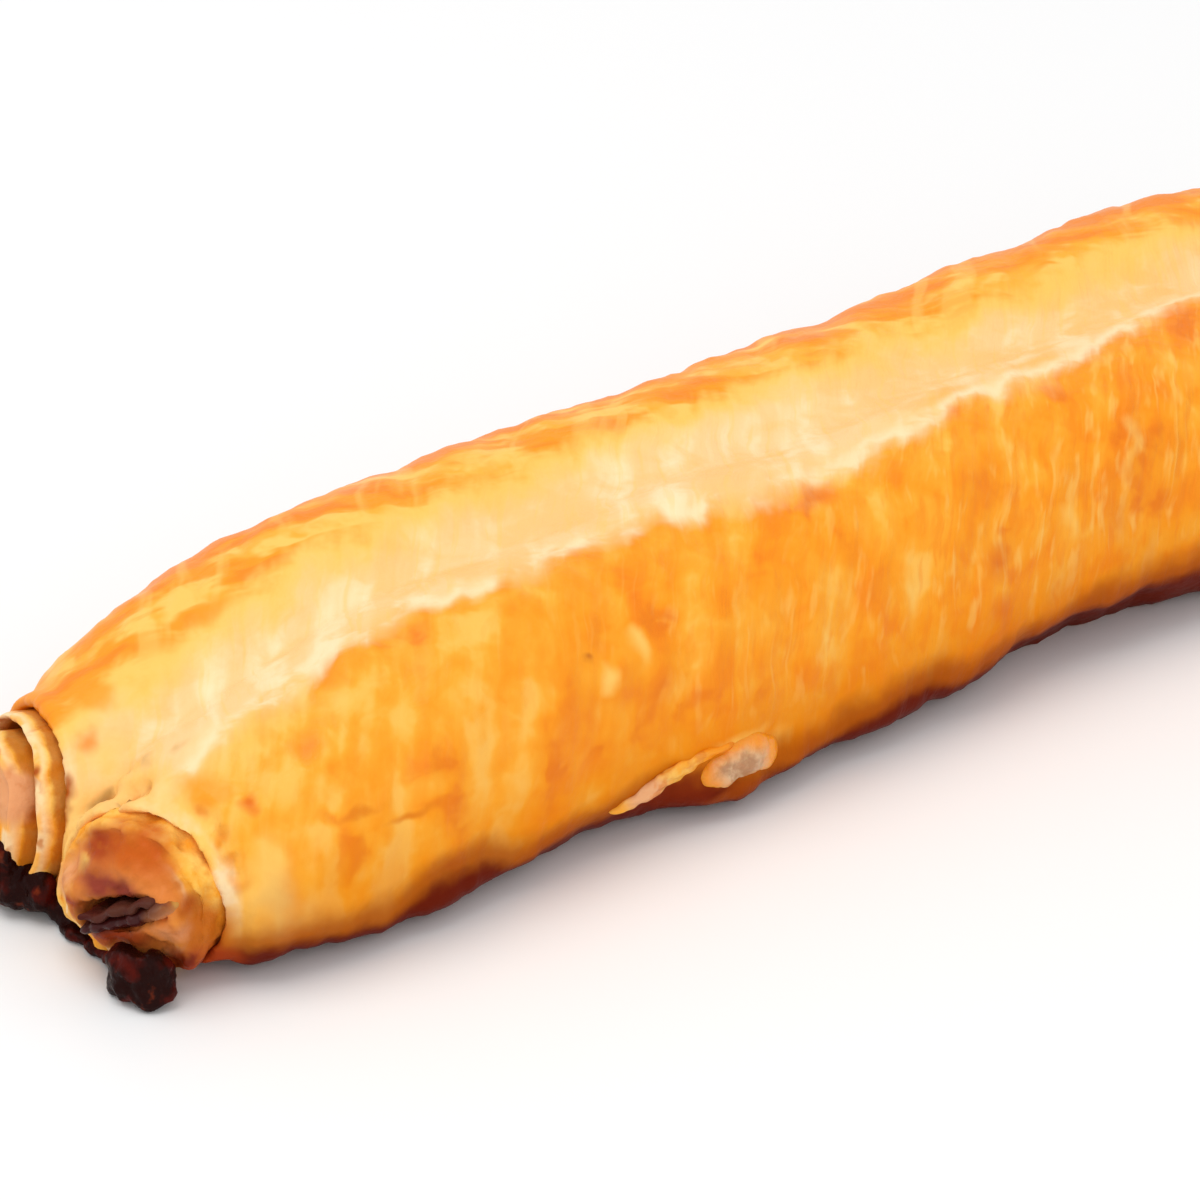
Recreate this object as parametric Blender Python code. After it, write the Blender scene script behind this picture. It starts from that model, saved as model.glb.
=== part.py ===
"""Ham and cheese pastry: puff pastry rolled up from both long sides into two parallel rolls,
with ham and melted cheese running through each roll and showing at its open ends.

Metres, +Z up. X runs along the rolls with the near end at -X, the front roll is at -Y, and the
origin is under the middle of the pastry, on the surface that it rests on.
"""

import math

import bmesh
import bpy
from mathutils import Matrix, Vector

MM = 0.001

FRONT = -1
BACK = 1
NEAR = -1
FAR = 1
SIDES = {"front": FRONT, "back": BACK}

# Driving dimensions of the whole pastry: its length with the burnt cheese at both ends, and the
# width and the height of the two rolls before they swell, pinch and spread at the base.
LENGTH = 232 * MM
WIDTH = 58 * MM
HEIGHT = 33 * MM

# A roll's section along the pastry and at its squashed ends.
ROLL_HALF_WIDTH = 17.2 * MM
ROLL_OFFSET = WIDTH / 2 - ROLL_HALF_WIDTH
END_HALF_WIDTH = 15.2 * MM
END_OFFSET = 12.8 * MM
END_HEIGHT = 21.5 * MM
TAPER = {NEAR: 46 * MM, FAR: 28 * MM}
TAPER_LEFT_AT_RIM = 0.25
WIDEST_AT = 0.42
BASE_PRESS = 0.9 * MM
BASE_SQUARENESS = 0.78

# Where the outer layer of each roll ends: its rim.
RIM_X = {
    (FRONT, NEAR): -LENGTH / 2 + 9.0 * MM,
    (BACK, NEAR): -LENGTH / 2 + 8.0 * MM,
    (FRONT, FAR): LENGTH / 2 - 6.5 * MM,
    (BACK, FAR): LENGTH / 2 - 10.0 * MM,
}

# How far the second and the innermost layer of each roll slide out past the rim.
LAYERS_OUT = {
    (FRONT, NEAR): (1.2 * MM, 3.4 * MM),
    (BACK, NEAR): (2.4 * MM, 4.8 * MM),
    (FRONT, FAR): (1.8 * MM, 4.4 * MM),
    (BACK, FAR): (2.2 * MM, 5.2 * MM),
}

# The share of the roll's size at the outside and at the inside of each layer, from the rim inwards.
RIM_SHARE = 0.88
LAYER_SHARES = ((RIM_SHARE, 0.80), (0.76, 0.67), (0.63, 0.56))
SHOULDER = 8 * MM
SHOULDER_STEPS = 3
LAYER_ROUNDING = 0.9 * MM
LAYER_CROWN = 0.4
GROOVE_DEPTH = 4.5 * MM

# The slot through each roll, the filling that lies in it, and the slant of its mouths.
SLOT_HALF_WIDTH = 6.0 * MM
SLOT_HALF_HEIGHT = 2.5 * MM
SLOT_SQUARENESS = 0.7
MOUTH_FLARE = 0.6 * MM
MOUTH_TILT = math.radians(24)
TILT_FADE = 45 * MM
FILLING_GAP = 0.35 * MM
FILLING_HALF_WIDTH = 4.8 * MM
FILLING_TIP_WIDTH = 0.85
FILLING_TIP_HEIGHT = 0.6
FILLING_TIP_LENGTH = 0.4 * MM
HAM_REACH = 1.6 * MM
CHEESE_REACH = 0.8 * MM

# The dough between the rolls: its top is the pale valley, which opens into a cleft at the ends.
WEB_HALF_WIDTH = 6.5 * MM
WEB_RISE = 2.0 * MM
WEB_BASE = 5.0 * MM
VALLEY_LIFT = 1.8 * MM
CLEFT_DROP = 3.0 * MM
CLEFT_LENGTH = 9 * MM
VALLEY_FULL_AT = 52 * MM
VALLEY_STEPS = 6

ROLL_POINTS = 28
SLOT_POINTS = 16
STATION_STEP = 8 * MM
TUNNEL_STEP = 17 * MM

# Slow swellings and pinches of a roll: (place, half length, height added, half width added).
SWELLINGS = {
    FRONT: (
        (-52 * MM, 16 * MM, -0.4 * MM, -0.8 * MM),
        (-30 * MM, 18 * MM, 0.5 * MM, 0.3 * MM),
        (-8 * MM, 16 * MM, -0.5 * MM, -0.2 * MM),
        (22 * MM, 24 * MM, 0.4 * MM, -1.4 * MM),
        (46 * MM, 20 * MM, -0.5 * MM, 0.2 * MM),
        (72 * MM, 18 * MM, 0.3 * MM, -0.6 * MM),
    ),
    BACK: (
        (-46 * MM, 26 * MM, 0.4 * MM, 0.0 * MM),
        (-8 * MM, 18 * MM, -0.5 * MM, -0.5 * MM),
        (20 * MM, 16 * MM, -1.0 * MM, -0.2 * MM),
        (44 * MM, 14 * MM, 0.3 * MM, -0.3 * MM),
        (66 * MM, 12 * MM, 0.6 * MM, 0.0 * MM),
        (84 * MM, 14 * MM, -0.4 * MM, -0.3 * MM),
    ),
}

# How far the base spread outwards along each roll as it baked, or stayed drawn in: (place, spread).
BASE_SPREADS = {
    FRONT: (
        (-116 * MM, 0.0 * MM),
        (-96 * MM, 0.3 * MM),
        (-88 * MM, 1.3 * MM),
        (-79 * MM, 3.4 * MM),
        (-68 * MM, 1.4 * MM),
        (-57 * MM, -0.2 * MM),
        (-50 * MM, -0.6 * MM),
        (-45 * MM, 1.2 * MM),
        (-36 * MM, 4.6 * MM),
        (-29 * MM, 3.2 * MM),
        (-20 * MM, 1.4 * MM),
        (-5 * MM, 1.4 * MM),
        (3 * MM, 0.8 * MM),
        (13 * MM, -1.6 * MM),
        (22 * MM, -2.6 * MM),
        (31 * MM, -3.0 * MM),
        (38 * MM, -1.4 * MM),
        (46 * MM, 0.6 * MM),
        (62 * MM, 1.8 * MM),
        (78 * MM, 0.0 * MM),
        (92 * MM, 0.8 * MM),
        (116 * MM, 0.0 * MM),
    ),
    BACK: (
        (-116 * MM, 0.0 * MM),
        (-84 * MM, 0.6 * MM),
        (-60 * MM, 1.8 * MM),
        (-42 * MM, 0.0 * MM),
        (-20 * MM, -0.6 * MM),
        (6 * MM, 2.0 * MM),
        (26 * MM, 0.2 * MM),
        (40 * MM, -0.8 * MM),
        (58 * MM, 1.6 * MM),
        (76 * MM, 0.0 * MM),
        (94 * MM, 0.6 * MM),
        (116 * MM, 0.0 * MM),
    ),
}

# Brings the spread to its stated size at the corner of the base, where it is widest.
SPREAD_FULLNESS = 3.2

# Melted cheese that came through a tear low on the front side.
LEAK_CENTRE = Vector((-34.2 * MM, -28.3 * MM, 6.7 * MM))
LEAK_RADII = Vector((6.0 * MM, 1.9 * MM, 3.4 * MM))

# Cheese that ran out of the mouths and burnt: the end it is at, and its lumps, which run together.
# A lump is its centre and its radii, in millimetres.
BURNT_CHEESE = {
    "burnt_cheese_near": (
        NEAR,
        (
            ((-113.2, 9.0, 6.4), (2.8, 4.4, 4.8)),
            ((-112.8, 4.2, 3.2), (3.2, 4.2, 3.4)),
            ((-112.4, -3.4, 1.0), (2.6, 6.4, 1.9)),
            ((-112.6, -10.6, 1.0), (2.6, 6.0, 2.1)),
            ((-112.7, -18.0, 3.2), (3.3, 4.2, 4.3)),
        ),
    ),
    "burnt_cheese_far": (
        FAR,
        (
            ((112.2, 9.0, 2.2), (3.6, 5.4, 3.2)),
            ((112.0, 14.6, 2.8), (4.0, 4.6, 3.8)),
        ),
    ),
}

COLOURS = {
    "pastry": ((0.86, 0.42, 0.10, 1), 0.45),
    "ham": ((0.72, 0.30, 0.24, 1), 0.40),
    "cheese": ((0.93, 0.70, 0.36, 1), 0.38),
    "burnt_cheese": ((0.06, 0.015, 0.01, 1), 0.30),
}


def clear_scene():
    for thing in list(bpy.data.objects):
        bpy.data.objects.remove(thing)


def new_collection(name):
    collection = bpy.data.collections.new(name)
    bpy.context.scene.collection.children.link(collection)
    return collection


def make_material(name):
    colour, roughness = COLOURS[name]
    material = bpy.data.materials.new(name)
    material.use_nodes = True
    shader = material.node_tree.nodes["Principled BSDF"]
    shader.inputs["Base Color"].default_value = colour
    shader.inputs["Roughness"].default_value = roughness
    shader.inputs["Metallic"].default_value = 0
    material.diffuse_color = colour
    return material


def mix(first, second, share):
    return first + (second - first) * share


def ease(share):
    share = min(1, max(0, share))
    return share * share * (3 - 2 * share)


def rise_between(value, low, high):
    """0 below low, 1 above high, and a smooth rise between them."""
    return ease((value - low) / (high - low))


def spread(low, high, step):
    """Evenly spaced places from low to high, about step apart."""
    count = max(1, round(abs(high - low) / step))
    return [mix(low, high, index / count) for index in range(count + 1)]


def rim_distance(x, side):
    """How far x is inside the roll's nearer rim."""
    return min(x - RIM_X[side, NEAR], RIM_X[side, FAR] - x)


def fullness(x, side):
    """Nearly 0 at the squashed ends of a roll and 1 along its middle."""
    shares = []
    for end in (NEAR, FAR):
        inside = end * (RIM_X[side, end] - x)
        shares.append(rise_between(inside, -TAPER_LEFT_AT_RIM * TAPER[end], TAPER[end]))
    return min(shares)


def swelling(x, side):
    """The (height, half width) that the roll's swellings and pinches add at x."""
    height = half_width = 0
    for place, half_length, height_added, half_width_added in SWELLINGS[side]:
        share = ease(1 - abs(x - place) / half_length)
        height += share * height_added
        half_width += share * half_width_added
    return height, half_width


def base_spread(x, side):
    """How far the base reaches beyond that of a plain roll at x."""
    table = BASE_SPREADS[side]
    for (place, added), (to_place, to_added) in zip(table, table[1:]):
        if place <= x <= to_place:
            return mix(added, to_added, ease((x - place) / (to_place - place)))
    return 0


def roll_height(x, side):
    return mix(END_HEIGHT, HEIGHT, fullness(x, side)) + swelling(x, side)[0]


def roll_half_width(x, side):
    return mix(END_HALF_WIDTH, ROLL_HALF_WIDTH, fullness(x, side)) + swelling(x, side)[1]


def roll_middle(x, side):
    """The (y, z) of the line that a roll's sections are drawn round, where it is widest."""
    y = side * mix(END_OFFSET, ROLL_OFFSET, fullness(x, side))
    return y, WIDEST_AT * roll_height(x, side)


def roll_top(x, side, y):
    """The height of a roll's top at y, or of its widest line where y is outside it."""
    middle_y, middle_z = roll_middle(x, side)
    across = min(1, abs(y - middle_y) / roll_half_width(x, side))
    return middle_z + (roll_height(x, side) - middle_z) * math.sqrt(1 - across**2)


def squared(value, squareness):
    """A cosine or sine made fuller, so that a circle turns into a rounded box."""
    return math.copysign(abs(value) ** squareness, value)


def ring_angles(points):
    return [math.tau * (step + 0.5) / points for step in range(points)]


def roll_ring(x, side, share=1.0, margin=0.0):
    """A section of a roll: a round top and a pressed flat base, drawn in by share."""
    middle_y, middle_z = roll_middle(x, side)
    rise = share * (roll_height(x, side) - middle_z) + margin
    drop = share * (middle_z + BASE_PRESS) + margin
    half_width = share * roll_half_width(x, side) + margin
    floor = (1 - share) * middle_z - margin
    ring = []
    for angle in ring_angles(ROLL_POINTS):
        across, up = math.cos(angle), math.sin(angle)
        y = middle_y + half_width * across
        if up < 0:
            across = squared(across, BASE_SQUARENESS)
            up = squared(up, BASE_SQUARENESS)
            outward = SPREAD_FULLNESS * max(0, side * across) * up**4
            y = middle_y + half_width * across + side * outward * base_spread(x, side)
        z = middle_z + up * (rise if up > 0 else drop)
        ring.append(Vector((x, y, max(z, floor))))
    return ring


def slot_ring(x, side, half_width, half_height, lift=0.0, points=SLOT_POINTS):
    """A flat rounded section across a roll's slot, lifted off the middle of the slot.

    The slot lies flat inside the roll and slants up towards the roll's outer side at its mouths.
    """
    middle_y, middle_z = roll_middle(x, side)
    tilt = side * MOUTH_TILT * (1 - rise_between(rim_distance(x, side), 0, TILT_FADE))
    ring = []
    for angle in ring_angles(points):
        across = half_width * squared(math.cos(angle), SLOT_SQUARENESS)
        up = lift + half_height * squared(math.sin(angle), SLOT_SQUARENESS)
        y = middle_y + across * math.cos(tilt) - up * math.sin(tilt)
        z = middle_z + across * math.sin(tilt) + up * math.cos(tilt)
        ring.append(Vector((x, y, z)))
    return ring


def moved_to(x, ring):
    return [Vector((x, point.y, point.z)) for point in ring]


def new_object(name, mesh, collection, material=None):
    data = bpy.data.meshes.new(name)
    mesh.to_mesh(data)
    mesh.free()
    data.shade_smooth()
    if material:
        data.materials.append(material)
    thing = bpy.data.objects.new(name, data)
    collection.objects.link(thing)
    return thing


def loft(name, rings, collection, material=None):
    """A skin over the rings, capped at its two ends."""
    mesh = bmesh.new()
    loops = [[mesh.verts.new(point) for point in ring] for ring in rings]
    mesh.faces.new(loops[0])
    mesh.faces.new(loops[-1])
    for first, second in zip(loops, loops[1:]):
        for step in range(len(first)):
            after = (step + 1) % len(first)
            mesh.faces.new((first[step], first[after], second[after], second[step]))
    bmesh.ops.recalc_face_normals(mesh, faces=mesh.faces)
    return new_object(name, mesh, collection, material)


def ball(name, centre, radii, collection, material=None):
    """A ball of the given radii, pressed flat where it meets the resting surface."""
    mesh = bmesh.new()
    place = Matrix.Translation(centre) @ Matrix.Diagonal((*radii, 1))
    bmesh.ops.create_icosphere(mesh, subdivisions=2, radius=1, matrix=place)
    for vertex in mesh.verts:
        vertex.co.z = max(vertex.co.z, 0)
    return new_object(name, mesh, collection, material)


def combine(target, tool, operation):
    modifier = target.modifiers.new(operation.lower(), "BOOLEAN")
    modifier.operation = operation
    modifier.object = tool
    modifier.solver = "EXACT"
    tool.hide_render = True
    tool.display_type = "WIRE"


def mouth_x(side, end):
    return RIM_X[side, end] + end * LAYERS_OUT[side, end][-1]


def tunnel_places(side):
    """The places along a roll where its slot and its filling have their sections."""
    inset = 2 * MOUTH_FLARE
    return spread(mouth_x(side, NEAR) + inset, mouth_x(side, FAR) - inset, TUNNEL_STEP)


def shoulder_share(x, side):
    """How far the outer layer is drawn in: rounded off over the last stretch before its rim."""
    return mix(1, RIM_SHARE, max(0, 1 - rim_distance(x, side) / SHOULDER) ** 2)


def end_rings(side, end):
    """The ends of the layers, from the rim inwards, with a groove round each inner one."""
    rim = RIM_X[side, end]
    steps = []
    tips = [rim] + [rim + end * out for out in LAYERS_OUT[side, end]]
    for tip, (outer, inner) in zip(tips, LAYER_SHARES):
        root = tip - end * GROOVE_DEPTH
        if steps:
            steps += [(root, steps[-1][1]), (root, outer)]
        steps.append((tip - end * LAYER_ROUNDING, outer))
        steps.append((tip, mix(outer, inner, LAYER_CROWN)))
        steps.append((tip - end * LAYER_CROWN * LAYER_ROUNDING, inner))
    return [moved_to(x, roll_ring(rim, side, share)) for x, share in steps[1:]]


def roll(name, side, collection, material=None):
    """One roll of dough, with its inner layers sliding out of the outer one at each end."""
    near, far = RIM_X[side, NEAR], RIM_X[side, FAR]
    places = spread(near + SHOULDER, far - SHOULDER, STATION_STEP)
    shoulder = spread(LAYER_ROUNDING, SHOULDER, SHOULDER / SHOULDER_STEPS)[:-1]
    places = [near + inside for inside in shoulder] + places
    places += [far - inside for inside in shoulder[::-1]]
    outside = [roll_ring(x, side, shoulder_share(x, side)) for x in places]
    rings = end_rings(side, NEAR)[::-1] + outside + end_rings(side, FAR)
    return loft(name, rings, collection, material)


def slot(side, collection):
    """The space for the filling of a roll, flared where it opens at the mouths."""
    rings = [slot_ring(x, side, SLOT_HALF_WIDTH, SLOT_HALF_HEIGHT) for x in tunnel_places(side)]
    flared_size = SLOT_HALF_WIDTH + MOUTH_FLARE, SLOT_HALF_HEIGHT + MOUTH_FLARE
    rings.insert(0, slot_ring(mouth_x(side, NEAR) - MOUTH_FLARE, side, *flared_size))
    rings.append(slot_ring(mouth_x(side, FAR) + MOUTH_FLARE, side, *flared_size))
    return loft("slot", rings, collection)


def valley_height(x):
    """Where the rolls' tops cross over the middle, filled in along the pastry, cleft at its ends."""
    crossing = min(roll_top(x, FRONT, 0), roll_top(x, BACK, 0))
    inside = min(rim_distance(x, FRONT), rim_distance(x, BACK))
    return crossing + mix(-CLEFT_DROP, VALLEY_LIFT, rise_between(inside, CLEFT_LENGTH, VALLEY_FULL_AT))


def web(collection):
    """The dough that joins the rolls, flat underneath, with the valley as its top."""
    low = max(RIM_X[FRONT, NEAR], RIM_X[BACK, NEAR]) + CLEFT_LENGTH
    high = min(RIM_X[FRONT, FAR], RIM_X[BACK, FAR]) - CLEFT_LENGTH
    across = spread(-WEB_HALF_WIDTH, WEB_HALF_WIDTH, 2 * WEB_HALF_WIDTH / VALLEY_STEPS)
    rings = []
    for x in spread(low, high, STATION_STEP):
        bottom = valley_height(x)
        ring = [Vector((x, y, bottom + WEB_RISE * (y / WEB_HALF_WIDTH) ** 2)) for y in across]
        ring += [Vector((x, WEB_HALF_WIDTH, WEB_BASE)), Vector((x, -WEB_HALF_WIDTH, WEB_BASE))]
        rings.append(ring)
    return loft("web", rings, collection)


def pastry(parts, tools, material):
    """The rolls and the web between them as one piece of dough, torn where the cheese leaked."""
    dough = roll("pastry", FRONT, parts, material)
    combine(dough, roll("back_roll", BACK, tools), "UNION")
    combine(dough, web(tools), "UNION")
    for side in SIDES.values():
        combine(dough, slot(side, tools), "DIFFERENCE")
    gap = Vector((FILLING_GAP, FILLING_GAP, FILLING_GAP))
    combine(dough, ball("tear", LEAK_CENTRE, LEAK_RADII + gap, tools), "DIFFERENCE")


def filling(name, side, lift, reach, collection, material):
    """A band of filling along a whole slot, coming out of both its mouths by reach."""
    half_height = (SLOT_HALF_HEIGHT - 1.5 * FILLING_GAP) / 2
    near, far = mouth_x(side, NEAR) - reach, mouth_x(side, FAR) + reach
    rings = [
        slot_ring(x, side, FILLING_HALF_WIDTH, half_height, lift)
        for x in [near] + tunnel_places(side) + [far]
    ]
    tip_size = FILLING_TIP_WIDTH * FILLING_HALF_WIDTH, FILLING_TIP_HEIGHT * half_height
    rings.insert(0, slot_ring(near - FILLING_TIP_LENGTH, side, *tip_size, lift))
    rings.append(slot_ring(far + FILLING_TIP_LENGTH, side, *tip_size, lift))
    return loft(name, rings, collection, material)


def end_clearance(side, end, collection):
    """The end of a roll with its filling, swollen by the gap that burnt cheese keeps to it."""
    gap = FILLING_GAP
    rim = RIM_X[side, end]
    tip = mouth_x(side, end)
    outer = roll_ring(rim, side, LAYER_SHARES[0][0], margin=gap)
    inner = roll_ring(rim, side, LAYER_SHARES[1][0], margin=gap)
    mouth = slot_ring(tip, side, FILLING_HALF_WIDTH + gap, SLOT_HALF_HEIGHT, points=ROLL_POINTS)
    rings = [
        roll_ring(rim - end * SHOULDER, side, margin=gap),
        moved_to(rim - end * LAYER_ROUNDING, outer),
        moved_to(rim + end * gap, outer),
        moved_to(rim + end * 2 * gap, inner),
        moved_to(tip + end * gap, inner),
        moved_to(tip + end * 2 * gap, mouth),
        moved_to(tip + end * 2 * HAM_REACH, mouth),
    ]
    return loft("end_clearance", rings, collection)


def burnt_cheese(name, end, lumps, parts, tools, material):
    """Lumps run together under the mouths of one end, kept clear of the rolls and their filling."""
    balls = []
    for centre, radii in lumps:
        collection = tools if balls else parts
        balls.append(ball(name, Vector(centre) * MM, Vector(radii) * MM, collection, material))
    for other in balls[1:]:
        combine(balls[0], other, "UNION")
    for side in SIDES.values():
        combine(balls[0], end_clearance(side, end, tools), "DIFFERENCE")


def centre_on_origin(parts):
    """Moves parts and tools together, so that the origin is under the middle of the whole."""
    graph = bpy.context.evaluated_depsgraph_get()
    shapes = [part.evaluated_get(graph) for part in parts.objects]
    corners = [Vector(corner) for shape in shapes for corner in shape.bound_box]
    low = [min(corner[axis] for corner in corners) for axis in range(3)]
    high = [max(corner[axis] for corner in corners) for axis in range(3)]
    shift = Vector(((low[0] + high[0]) / 2, (low[1] + high[1]) / 2, low[2]))
    for thing in bpy.data.objects:
        thing.location -= shift


def main():
    clear_scene()
    parts = new_collection("ham_and_cheese_pastry")
    tools = new_collection("tools")
    materials = {name: make_material(name) for name in COLOURS}
    pastry(parts, tools, materials["pastry"])
    lift = (SLOT_HALF_HEIGHT - FILLING_GAP / 2) / 2
    for name, side in SIDES.items():
        filling(f"ham_{name}", side, lift, HAM_REACH, parts, materials["ham"])
        filling(f"cheese_{name}", side, -lift, CHEESE_REACH, parts, materials["cheese"])
    ball("cheese_leak", LEAK_CENTRE, LEAK_RADII, parts, materials["cheese"])
    for name, (end, lumps) in BURNT_CHEESE.items():
        burnt_cheese(name, end, lumps, parts, tools, materials["burnt_cheese"])
    centre_on_origin(parts)


main()
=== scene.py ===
"""Ham and cheese pastry: puff pastry rolled into two parallel rolls, pale and taut in the valley
between them, baked orange on the flanks, with ham and burnt cheese at the open ends.

Metres, +Z up. X runs along the rolls with the near end at -X, and the front roll is at -Y.
"""

import math
import random

import bmesh
import bpy
import numpy as np
from mathutils import Matrix, Vector


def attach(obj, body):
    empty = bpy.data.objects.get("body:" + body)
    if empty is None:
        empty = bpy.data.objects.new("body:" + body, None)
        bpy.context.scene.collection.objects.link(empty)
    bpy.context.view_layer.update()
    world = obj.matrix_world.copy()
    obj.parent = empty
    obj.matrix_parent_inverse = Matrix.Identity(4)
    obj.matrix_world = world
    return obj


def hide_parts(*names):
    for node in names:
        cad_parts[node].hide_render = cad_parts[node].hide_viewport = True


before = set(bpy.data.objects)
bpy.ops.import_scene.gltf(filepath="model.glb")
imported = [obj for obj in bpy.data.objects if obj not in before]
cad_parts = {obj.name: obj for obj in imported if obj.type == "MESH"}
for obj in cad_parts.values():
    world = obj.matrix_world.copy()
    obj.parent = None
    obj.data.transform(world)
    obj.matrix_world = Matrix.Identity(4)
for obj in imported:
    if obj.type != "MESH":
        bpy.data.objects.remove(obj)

MM = 0.001
TINY = 0.01 * MM
BODY = "root"

FRONT = -1
BACK = 1
NEAR = -1
FAR = 1
SIDE_NAMES = {FRONT: "front", BACK: "back"}
END_NAMES = {NEAR: "near", FAR: "far"}


def metres(*rows):
    """Rows of millimetres, in metres."""
    return tuple(tuple(value * MM for value in row) for row in rows)


def at_ends(front_near, back_near, front_far, back_far):
    """One value for each of the four open ends."""
    near = {(FRONT, NEAR): front_near, (BACK, NEAR): back_near}
    return {**near, (FRONT, FAR): front_far, (BACK, FAR): back_far}


# The rolls' shape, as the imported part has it.
ROLL_HALF_WIDTH = 17.2 * MM
ROLL_OFFSET = 11.8 * MM
HEIGHT = 33 * MM
END_HALF_WIDTH = 15.2 * MM
END_OFFSET = 12.8 * MM
END_HEIGHT = 21.5 * MM
TAPER = {NEAR: 46 * MM, FAR: 28 * MM}
TAPER_LEFT_AT_RIM = 0.25
WIDEST_AT = 0.42
BASE_PRESS = 0.9 * MM
BASE_SQUARENESS = 0.78
RIM_X = at_ends(-107.0 * MM, -108.0 * MM, 109.5 * MM, 106.0 * MM)
# How far the two inner layers slid out at each end.
LAYERS_OUT = at_ends(*metres((1.4, 3.6), (2.6, 5.6), (1.8, 4.4), (2.2, 5.2)))
# Where each roll swells or narrows: place, half length, height added and half width added.
SWELLINGS = {
    FRONT: metres(
        (-52, 16, -0.4, -0.8), (-30, 18, 0.5, 0.3), (-8, 16, -0.5, -0.2),
        (22, 24, 0.4, -1.4), (46, 20, -0.5, 0.2), (72, 18, 0.3, -0.6),
    ),
    BACK: metres(
        (-46, 26, 0.4, 0.0), (-8, 18, -0.5, -0.5), (20, 16, -1.0, -0.2),
        (44, 14, 0.3, -0.3), (66, 12, 0.6, 0.0), (84, 14, -0.4, -0.3),
    ),
}
# How far the base spread outwards along each roll as it baked, or stayed drawn in: (place, spread).
BASE_SPREADS = {
    FRONT: metres(
        (-116, 0.0), (-96, 0.3), (-88, 1.3), (-79, 3.4), (-68, 1.4), (-57, -0.2), (-50, -0.6),
        (-45, 1.2), (-36, 4.6), (-29, 3.2), (-20, 1.4), (-5, 1.4), (3, 0.8), (13, -1.6), (22, -2.6),
        (31, -3.0), (38, -1.4), (46, 0.6), (62, 1.8), (78, 0.0), (92, 0.8), (116, 0.0),
    ),
    BACK: metres(
        (-116, 0.0), (-84, 0.6), (-60, 1.8), (-42, 0.0), (-20, -0.6), (6, 2.0), (26, 0.2),
        (40, -0.8), (58, 1.6), (76, 0.0), (94, 0.6), (116, 0.0),
    ),
}
BASE_REACH = 0.62
VALLEY_LIFT = 2.4 * MM
CLEFT_DROP = 4.6 * MM
CLEFT_LENGTH = 3 * MM
VALLEY_FULL_AT = 52 * MM
SHOULDER = 8 * MM
RIM_SHARE = 0.88
WEB_HALF_WIDTH = 7.5 * MM
WEB_RISE = 2.2 * MM
WEB_BASE = 5.0 * MM
# Each layer's outer and inner share of the roll's size.
LAYER_SHARES = at_ends(
    ((0.79, 0.68), (0.69, 0.58)),
    ((0.77, 0.69), (0.61, 0.54)),
    ((0.72, 0.64), (0.60, 0.54)),
    ((0.72, 0.63), (0.58, 0.52)),
)
# How the ends are turned: the angle about Z, how far outward its pivot lies, and the lean about Y.
SKIN_TURN = at_ends((9, -8 * MM, 0), (-17, -8 * MM, 11), (-5, -8 * MM, 0), (6, -8 * MM, 0))
LAYER_TURN = {**SKIN_TURN, (FRONT, NEAR): (20, 1 * MM, 5)}
# At this end the layers ran together, so the second one is made with the crust.
MELTED_END = (FRONT, NEAR)
# What counts as behind the lip, in millimetres: the innermost layer there, and skin that is no lip.
MELTED_INSET = 1.4
NO_LIP = 99
# The lip of the outer layer: how far inside the rim, and its share of the roll's size there.
ROLLED_LIP = ((4.4 * MM, 1.0), (2.7 * MM, 0.95), (1.3 * MM, 1.03), (0.4 * MM, 1.01))
MELTED_LIP = ((4.4 * MM, 1.0), (2.7 * MM, 0.99), (1.3 * MM, 0.975), (0.4 * MM, 0.95))
# What the outer skin does past its lip: how far outward each ring goes, and how it shrinks.
LIP_RINGS = ((0.35 * MM, 0.955), (-0.1 * MM, 0.95), (-0.8 * MM, 0.96), (-9 * MM, 0.98))
MOUTH_HALF_WIDTH = 6.6 * MM
MOUTH_HALF_HEIGHT = at_ends(1.5 * MM, 2.4 * MM, 2.4 * MM, 2.2 * MM)
MOUTH_EDGE = 1.2 * MM
MOUTH_DEPTH = 5 * MM
# The mouth's place from the middle of the rim, across and up.
MOUTH_SHIFT = at_ends(*metres((-0.9, -0.4), (0.0, -0.8), (0.0, -0.6), (0.0, -0.8)))
# The steps in which the innermost layer goes in to the mouth, each by how far it bulges outward.
MOUTH_BULGE = at_ends(*metres((1.8, 1.2, 0.4, -0.3), (0.6, 0.2, -0.3), (0.3, 0.0, -0.4), (0.3, 0.0, -0.4)))
MOUTH_TILT = math.radians(30)
LIP = 1.2 * MM
LAYER_ROOT = 7 * MM
LAYER_CLEARANCE = 0.5 * MM
HAM_REACH = 1.6 * MM
# Lumps, in millimetres: centre and radii.
BURNT_LUMPS = {
    NEAR: (
        ((-115.6, 10.4, 8.2), (2.5, 3.6, 3.4)), ((-115.4, 8, 6.2), (2.4, 3.2, 3.6)),
        ((-115.2, 6.4, 2.8), (2.4, 3, 2.6)), ((-113.6, 3.4, 3.4), (2.4, 2.8, 2.8)),
        ((-112, 1, 1.8), (1.8, 2.4, 1.8)), ((-112.6, -3.6, 0.6), (1.6, 4, 0.9)),
        ((-112.6, -9, 0.6), (1.6, 4, 0.9)), ((-112.6, -14, 1.4), (2.2, 3.6, 1.6)),
        ((-115.2, -17.8, 4), (2.2, 2.8, 2.4)), ((-115.4, -18, 1.6), (2.4, 3, 2.2)),
        ((-113.8, -20.6, 3.8), (2.6, 2.4, 2.6)), ((-114.2, -20.6, 1.6), (2.8, 2.6, 2.2)),
    ),
    FAR: (
        ((112, 9, 2.4), (3.4, 5, 3.2)), ((112, 14.6, 2.8), (3.6, 4.4, 3.6)),
    ),
}
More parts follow.
